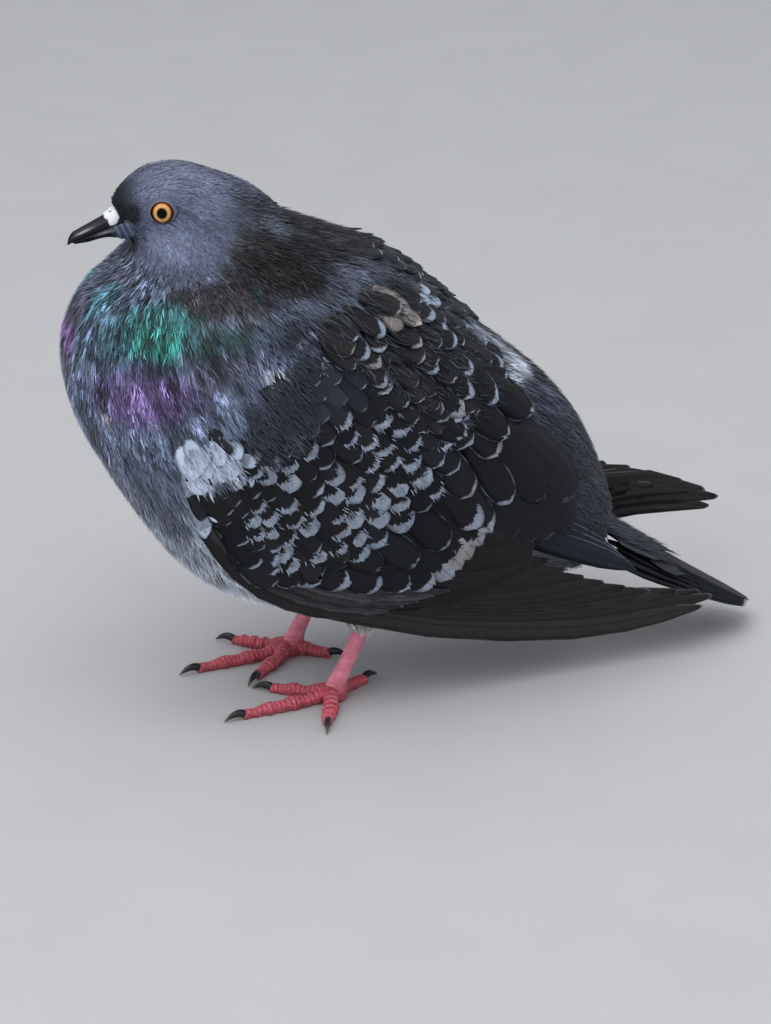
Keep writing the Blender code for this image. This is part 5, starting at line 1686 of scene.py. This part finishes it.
def cere():
    """Two soft lobes over the root of the upper bill: a closed saddle, swollen on each side of a groove."""
    rings, sides = 34, 44
    share = np.linspace(0, 1, rings)[:, None]
    place = -0.12 + 0.35 * share
    width, high, _ = bill_profile(place)
    middle, upward = bill_frame(place[:, 0])
    turn = np.linspace(math.radians(4), math.radians(176), sides)[None, :]
    away = np.abs(turn - math.pi / 2) - 0.76
    rear = 1 - ((share - 0.50 - 0.30 * away) / 0.36) ** 2 - (away / 0.86) ** 2
    front = 1 - ((share - 0.78) / 0.24) ** 2 - ((away + 0.45) / 0.62) ** 2
    thick = np.maximum(1.75 * np.sqrt(np.maximum(rear, 0)), 1.25 * np.sqrt(np.maximum(front, 0))) - 0.40
    grids = []
    for extra in (thick, thick * 0 - 0.6):
        tall = np.sin(turn) ** 0.9 * (high + extra)
        broad = np.cos(turn) * (width + 0.8 * extra)
        grids.append(middle[:, None] + upward[:, None] * (MOUTH_GAP / 2 + tall)[..., None]
                     + broad[..., None] * np.array((0, 1.0, 0)))
    grid = np.concatenate([grids[0], grids[1][:, ::-1]], axis=1)
    closed_tubes("cere_lobes", [grid], (), cere_finish(), replaces=("cere",))


# -------- eyes

EYE_FORWARD = math.radians(15)


def iris_finish():
    """Eye in rings about its axis: black pupil, pale gold with fine spokes, orange, then a dark brown rim."""
    finish = Finish("iris", "eye", Roughness=0.05, Specular_IOR_Level=0.10)
    out, round_axis = finish.uv("rings")
    spokes = finish.noise(finish.vector(round_axis * 60.0, out * 5.0, 0.0), 1.0, 3.0)
    blotch = finish.noise(finish.vector(round_axis * 12.0, out * 9.0, 3.0), 1.0, 3.0)
    at = out + (spokes - 0.5) * 0.05 + (blotch - 0.5) * 0.05
    stops = [(0.0, (0.001, 0.001, 0.001)), (0.315, (0.001, 0.001, 0.001)), (0.350, (0.10, 0.045, 0.015)),
             (0.42, (0.66, 0.36, 0.13)), (0.54, (0.82, 0.48, 0.20)), (0.64, (0.72, 0.30, 0.07)),
             (0.72, (0.38, 0.09, 0.02)), (0.79, (0.05, 0.015, 0.011)), (1.0, (0.015, 0.010, 0.010))]
    ramp = finish.node("ValToRGB", {"stops": stops}, {0: at})
    finish.wear(Base_Color=finish.shade(ramp.outputs[0], spokes * 0.5 + 0.75))
    return finish


def lid_finish():
    """Thin bare skin of the lids: grey-pink, finely wrinkled round the eye."""
    finish = Finish("lid_skin", "head_feathers", Roughness=0.6, Specular_IOR_Level=0.35,
                    Subsurface_Weight=0.1, Subsurface_Scale=MM)
    finish.grained(2.4, 0.6, 0.7, 0.15, 0.6)
    return finish


LID_OPENING, LID_REACH = 3.68, 1.45      # half width at the rim, and how much more at the outer edge
IRIS_TURN = 0.92                         # the turn from the eye's axis over which its rings are spread
LID_INSIDE = 1.6                         # height of the lid's inner wall over the eye's middle


def eye_axes(side):
    """The way an eye looks, and the forward and upward directions of the rings round it."""
    axis = unit(np.array((-math.sin(EYE_FORWARD), side * math.cos(EYE_FORWARD), 0.02)))
    high = unit(np.array((0, 0, 1.0)) - axis * axis[2])
    return axis, np.cross(high, axis), high * 1.09


def eyeball(side, finish):
    """A ball with a slightly raised cornea, in rings about its axis."""
    axis, front, high = eye_axes(side)
    polar, around = np.linspace(0.004, math.pi, 60)[:, None], all_round(64)
    radius = EYE_RADIUS - 0.25 + 0.35 * np.exp(-(polar / 0.62) ** 4)
    ring = np.cos(around)[..., None] * front + np.sin(around)[..., None] * high
    out = np.cos(polar)[..., None] * axis + np.sin(polar)[..., None] * ring
    outward_share, round_share = np.minimum(polar / IRIS_TURN, 1.0), np.abs(around / math.pi - 1)
    rings = np.stack([outward_share + 0 * around, round_share + 0 * polar], -1)
    closed_tubes(f"eyeball_{SIDES[side]}", [EYE[side] + radius[..., None] * out], (), finish, [rings],
                 (f"eye_{SIDES[side]}",))


def lids(side, finish):
    """Two lids round the eye, their rim a thin rolled edge, over an inner wall.

    across is 0 at the rim and 1 at the outer edge, where they pass under the feathers.
    """
    axis, front, high = eye_axes(side)
    across, around = np.linspace(0, 1, 22)[:, None], all_round(64)
    ring = np.cos(around)[..., None] * front + np.sin(around)[..., None] * high
    corners = 0.10 * np.exp(-((np.abs(np.sin(around)) / 0.16) ** 2)) * ease(across, 0.0, 0.5)
    opening = (LID_OPENING + LID_REACH * across) * (1 + 0.05 * np.cos(2 * around) + corners)
    lift = math.sqrt(EYE_RADIUS ** 2 - LID_OPENING ** 2) + 0.15
    lift = lift + 0.45 * np.sin(math.pi * np.clip(across * 2.6, 0, 1)) ** 0.8
    lift = lift - 0.55 * ease(across, 0.10, 0.35) - 1.15 * ease(across, 0.3, 1.0)
    fold = 0.12 * np.sin(across * 30) * ease(across, 0.2, 0.5) * (1 - ease(across, 0.8, 1.0))
    outer = EYE[side] + (lift + fold)[..., None] * axis + opening[..., None] * ring
    inner = EYE[side] + LID_INSIDE * axis + opening[..., None] * ring
    grid = np.concatenate([outer, inner[-1:], inner[:1]])
    tone = blend((0.155, 0.160, 0.205), (0.115, 0.130, 0.190), ease(across, 0.18, 0.75) + 0 * around)
    below = ease(-np.sin(around), -0.1, 0.6)
    middle = ease(across, 0.2, 0.4) * (1 - ease(across, 0.6, 0.9))
    tone = blend(tone, (0.300, 0.320, 0.420), below * middle)
    # Painted shade, partly the lids' real dark margin: a dark band at the rim, wider at the top as the upper
    # lid's shadow.
    tone = blend(tone, (0.020, 0.012, 0.013), 1 - ease(across, 0.10, 0.28 - 0.08 * below))
    tone = np.concatenate([tone, tone[-1:], tone[:1]])
    faces = outward(grid, tube_faces(*grid.shape[:2], True))
    mesh_object(f"lids_{SIDES[side]}", grid, faces, finish, colours={"tint": tone.reshape(-1, 3)})


def eyes():
    """Both eyeballs and their lids."""
    iris, lid = iris_finish(), lid_finish()
    for side in SIDES:
        eyeball(side, iris)
        lids(side, lid)


# -------- legs, toes and claws

LEG_DEPTH = 1.2
LEG_RINGS = ((0.0, 4.0, 0.0), (1.0, 4.6, 0.0), (2.6, 4.8, 0.01), (4.4, 4.4, 0.06), (7.0, 3.3, 0.16),
             (12.0, 2.75, 0.36), (18.0, 2.6, 0.60), (24.0, 2.7, 0.82), (27.5, 3.0, 0.94), (33.0, 3.2, 1.1))
TOE_TIPS = {
    LEFT: {"inner": (-24.0, -6.0), "middle": (-40.0, -32.0), "outer": (-6.0, -53.5), "hind": (24.5, -8.0)},
    RIGHT: {"inner": (-25.0, -4.0), "middle": (-48.0, 14.0), "outer": (-28.0, 43.0), "hind": (18.0, 10.0)},
}
TOE_PADS = {"inner": 2, "middle": 3, "outer": 4, "hind": 1}
CLAW_LENGTH = 8.5
TOE_ROOT = 5.9           # from the foot's centre to the first of a toe's pads


def along_toe(side, heading, distance, aside, height):
    """Points at distances from the foot's centre along a toe's heading, off to its side, at a height."""
    across = np.array((-heading[1], heading[0]))
    flat = (np.array(FOOT_CENTRE[side]) + heading * distance)[:, None] + across * aside[..., None]
    return np.concatenate([flat, height[..., None]], -1)


def scaly_finish():
    """Pink-red scaly skin: the tint carries the plates, with fine grain, darker blotches and a dry bloom."""
    finish = Finish("scaly_skin_pink", "scaly_skin", Roughness=0.5, Specular_IOR_Level=0.4,
                    Subsurface_Weight=0.12, Subsurface_Scale=MM, Subsurface_Radius=(1.0, 0.35, 0.25))
    tint, _ = finish.attribute("tint")
    at = finish.place()
    blotch = finish.noise(at, 0.35, 3.0)
    net = finish.cells(at, 1.15)
    rim = 1.0 - net.ease(0.02, 0.16)
    fleck = finish.noise(at, 1.5, 2.0).ease(0.56, 0.68)
    base = finish.mix(fleck * 0.28, finish.mix(rim * 0.30, tint, (0.62, 0.30, 0.33)), (0.92, 0.52, 0.58))
    finish.wear(Base_Color=finish.shade(base, blotch * 0.9 + 0.55), Roughness=blotch * 0.3 + 0.35)
    finish.bump(net.least(0.25) * 2.0 + blotch * 0.5, 0.25, 0.7)
    return finish


def claw_finish():
    """Black claw horn, worn grey-tan towards its tip, with lengthwise streaks."""
    finish = Finish("claw_horn_worn", "claw_horn", Specular_IOR_Level=0.5)
    streak = finish.grained(1.1, 1.0, 0.5, 0.12, 0.5)
    return finish.wear(Roughness=streak * 0.3 + 0.18)


def plates(along, spacing, on):
    """Relief and paleness of cross plates, where on is 1: each swells and ends in a thin raised pale edge."""
    part = along / spacing - np.floor(along / spacing)
    relief = on * (0.30 * part ** 1.5 - 0.30 * ease(part, 0.90, 1.0))
    return relief, on * ease(part, 0.68, 0.95)


PINK, WORN, SHADED_PINK = (0.52, 0.036, 0.066), (0.74, 0.22, 0.28), (0.20, 0.020, 0.034)


def skin_tones(pale, deep, points, seed):
    """Pink-red, worn pale on plate edges, and darkened by deep, which is painted shade on undersides and low
    by the floor.
    """
    mottle = cloud(points, 2.4, seed)
    tone = blend(PINK, WORN, np.clip(pale * (0.75 + 0.35 * mottle), 0, 1))
    return blend(tone, SHADED_PINK, np.clip(deep * (0.7 + 0.5 * cloud(points, 4.0, seed + 1)), 0, 1))


def leg_rings(side):
    """Upright oval rings from the sole to above the feathers' edge, with plates down the front."""
    x, y = FOOT_CENTRE[side]
    rows, sides = 120, 36
    at = np.linspace(0, len(LEG_RINGS) - 1, rows)
    height, half, lean = (spline(LEG_RINGS, at)[:, k:k + 1] for k in range(3))
    turn = all_round(sides)
    front = ease(-np.cos(turn), -0.1, 0.45)
    slant = height + 0.5 * np.abs(np.sin(turn)) + 0.7 * np.sin(turn)
    plated = front * ease(height, 5.0, 7.5) * (1 - ease(height, 27, 30))
    relief, pale = plates(slant + 0.25 * np.sin(slant * 1.7), 2.3, plated)
    squeeze = half * (1 + relief * 0.55)
    points = np.stack([x + LEG_LEAN * lean + squeeze * LEG_DEPTH * np.cos(turn), y + squeeze * np.sin(turn),
                       height + 0 * turn], -1)
    points[..., 2] = np.maximum(points[..., 2], 0.0)
    # Painted shade: deep darkens the back of the leg and its lowest part by the floor.
    deep = (1 - front) * 0.5 + 0.5 * (1 - ease(height, 0.5, 5.0))
    tone = skin_tones(pale, deep, points, 5)
    return points, blend(tone, (0.98, 0.32, 0.46), 0.70 * ease(height, 3.0, 10.0) + 0 * turn)


def toe_rings(side, name):
    """One toe from inside the foot to the claw: pads below, cross plates above, a knuckle at each joint."""
    centre, tip = np.array(FOOT_CENTRE[side]), np.array(TOE_TIPS[side][name])
    reach = np.linalg.norm(tip - centre)
    heading = (tip - centre) / reach
    rows, sides = 80, 26
    end = reach - CLAW_LENGTH + 0.8
    distance = np.linspace(1.0, end, rows)[:, None]
    share = (distance - TOE_ROOT) / (end - TOE_ROOT)
    pads = TOE_PADS[name]
    inside = np.clip(share, 0, 1)
    radius = spline([(2.5,), (2.45,), (1.75,)], inside[:, 0] * 2)
    radius = radius * (1 + 0.09 * np.cos(2 * math.pi * pads * inside))
    radius = radius * np.sqrt(np.clip(1 - (np.maximum(0, distance - (end - 1.4)) / 1.9) ** 2, 0.05, 1))
    turn = all_round(sides)
    up = np.sin(turn)
    top = ease(up, -0.1, 0.4)
    relief, pale = plates(distance + 0.5 * np.abs(np.cos(turn)), 1.9, top * ease(distance, 3.0, 6.0))
    pad = (1 - top) * 0.10 * np.cos(2 * math.pi * pads * 2 * share)
    thick = radius * (1 + 0.45 * relief + pad)
    height = radius * 0.80 + 2.3 * np.exp(-(distance / 5.5) ** 2)
    wander = 0.35 * np.sin(math.pi * 1.5 * share)
    points = along_toe(side, heading, distance, np.cos(turn) * thick * 1.04 + wander, height + up * thick)
    points[..., 2] = np.maximum(points[..., 2], 0.0)
    # Painted shade: deep darkens the toe's underside and its root under the leg.
    deep = (1 - top) * 0.7 + 0.35 * (1 - ease(distance, 2, 9))
    return points, skin_tones(pale, deep, points, 7), heading, end


def claw_rings(side, heading, start):
    """Claw: an oval taper that rises from the toe's end and curves down to a worn point on the floor."""
    rows, sides = 30, 18
    share = np.linspace(0, 1, rows)[:, None]
    length = CLAW_LENGTH + 0.6
    distance = start - 1.0 + length * share - 0.5 * share ** 4
    height = 1.75 - 1.2 * share ** 1.7 + 1.25 * np.sin(math.pi * share ** 0.85)
    radius = 1.55 * (1 - share ** 1.5) ** 0.75 + 0.16
    turn = all_round(sides)
    points = along_toe(side, heading, distance, np.cos(turn) * radius * 0.80, height + np.sin(turn) * radius)
    points[..., 2] = np.maximum(points[..., 2], 0.12)
    tone = blend((0.014, 0.013, 0.014), (0.13, 0.105, 0.080), ease(share, 0.66, 0.98) + 0 * turn)
    return points, tone


def feet():
    """Each leg with its toes as one piece, and its claws as another."""
    scaly, horn = scaly_finish(), claw_finish()
    for side, label in SIDES.items():
        tubes, claws = [leg_rings(side)], []
        for name in TOE_TIPS[side]:
            points, tone, heading, end = toe_rings(side, name)
            tubes.append((points, tone))
            claws.append(claw_rings(side, heading, end))
        closed_tubes(f"foot_{label}", *zip(*tubes), scaly,
                     replaces=(f"leg_{label}", *(f"toe_{label}_{name}" for name in TOE_TIPS[side])))
        closed_tubes(f"claws_{label}", *zip(*claws), horn,
                     replaces=tuple(f"claw_{label}_{name}" for name in TOE_TIPS[side]))


bill()
cere()
eyes()
feet()


# -------- floor, light and camera

def floor_finish():
    """Plain pale matt floor with a very faint grain."""
    finish = Finish("pale_floor", "", Roughness=0.85, Specular_IOR_Level=0.2)
    grain = finish.noise(finish.place(), 0.02, 4.0)
    fine = finish.noise(finish.place(), 0.6, 3.0)
    finish.wear(Base_Color=finish.mix(grain * 0.6 + fine * 0.3, (0.50, 0.50, 0.505), (0.585, 0.585, 0.595)))
    return finish


def floor():
    """A level sheet that turns up into a wall far behind, round a wide curve."""
    half, front, back, bend, high = 3.0, -8.0, 2.4, 0.6, 2.6
    angle = np.linspace(0, math.pi / 2, 24)
    curve = zip(back + bend * np.sin(angle), bend - bend * np.cos(angle))
    profile = np.array([(front, 0.0), (back, 0.0), *curve, (back + bend, high)])
    x = np.array((-half, half))
    grid = np.stack([x + 0 * profile[:, :1], profile[:, :1] + 0 * x, profile[:, 1:] + 0 * x], -1)
    n = len(profile)
    i = np.arange(n - 1)
    quads = np.stack([2 * i, 2 * i + 1, 2 * i + 3, 2 * i + 2], -1)
    mesh = bpy.data.meshes.new("floor")
    mesh.from_pydata(grid.reshape(-1, 3).tolist(), [], quads.tolist())
    mesh.shade_smooth()
    mesh.materials.append(floor_finish().material)
    item = bpy.data.objects.new("floor", mesh)
    bpy.context.scene.collection.objects.link(item)


def area_light(name, place, aim, size, power, colour=(1, 1, 1)):
    """Square soft light at a place, aimed at a point; both in metres."""
    lamp = bpy.data.lights.new(name, "AREA")
    lamp.size, lamp.energy, lamp.color = size, power, colour
    item = bpy.data.objects.new(name, lamp)
    item.location = place
    item.rotation_euler = (Vector(aim) - Vector(place)).to_track_quat("-Z", "Y").to_euler()
    bpy.context.scene.collection.objects.link(item)


def lights():
    """An even pale sky, and one soft lamp overhead on the near side."""
    world = bpy.data.worlds.new("sky")
    world.use_nodes = True
    sky = world.node_tree.nodes["Background"]
    sky.inputs["Color"].default_value = (0.93, 0.96, 1.0, 1.0)
    sky.inputs["Strength"].default_value = 0.77
    bpy.context.scene.world = world
    area_light("overhead_light", (-0.5, -0.5, 1.6), (0, 0, 0.05), 1.6, 15.0)


# Camera: a level turn and a look down at the bird, with the view's top leaned a little to the right
CAMERA_TURN, CAMERA_DOWN, CAMERA_ROLL = (math.radians(a) for a in (-13.5, 22.0, 1.8))
CAMERA_DISTANCE, LENS, SENSOR = 1.30, 120.0, 36.0
FEET_LEFT, FEET_BELOW = 0.028755, 0.06208     # metres from the view's middle to the feet


def camera():
    """Stand back from the feet along the line of sight, moved right and up so that they fall low and left."""
    turn, down, roll = CAMERA_TURN, CAMERA_DOWN, CAMERA_ROLL
    back = Vector((math.sin(turn) * math.cos(down), -math.cos(turn) * math.cos(down), math.sin(down)))
    level = Vector((math.cos(turn), math.sin(turn), 0))
    upright = back.cross(level)
    right = level * math.cos(roll) - upright * math.sin(roll)
    up = level * math.sin(roll) + upright * math.cos(roll)
    view = bpy.data.cameras.new("camera")
    view.lens, view.sensor_width, view.clip_start = LENS, SENSOR, 0.05
    item = bpy.data.objects.new("camera", view)
    place = Vector((SHIFT, 0, 0)) + back * CAMERA_DISTANCE + right * FEET_LEFT + up * FEET_BELOW
    item.matrix_world = Matrix.Translation(place) @ Matrix((right, up, back)).transposed().to_4x4()
    bpy.context.scene.collection.objects.link(item)
    bpy.context.scene.camera = item
    bpy.context.scene.view_settings.view_transform = "Standard"


floor()
lights()
camera()
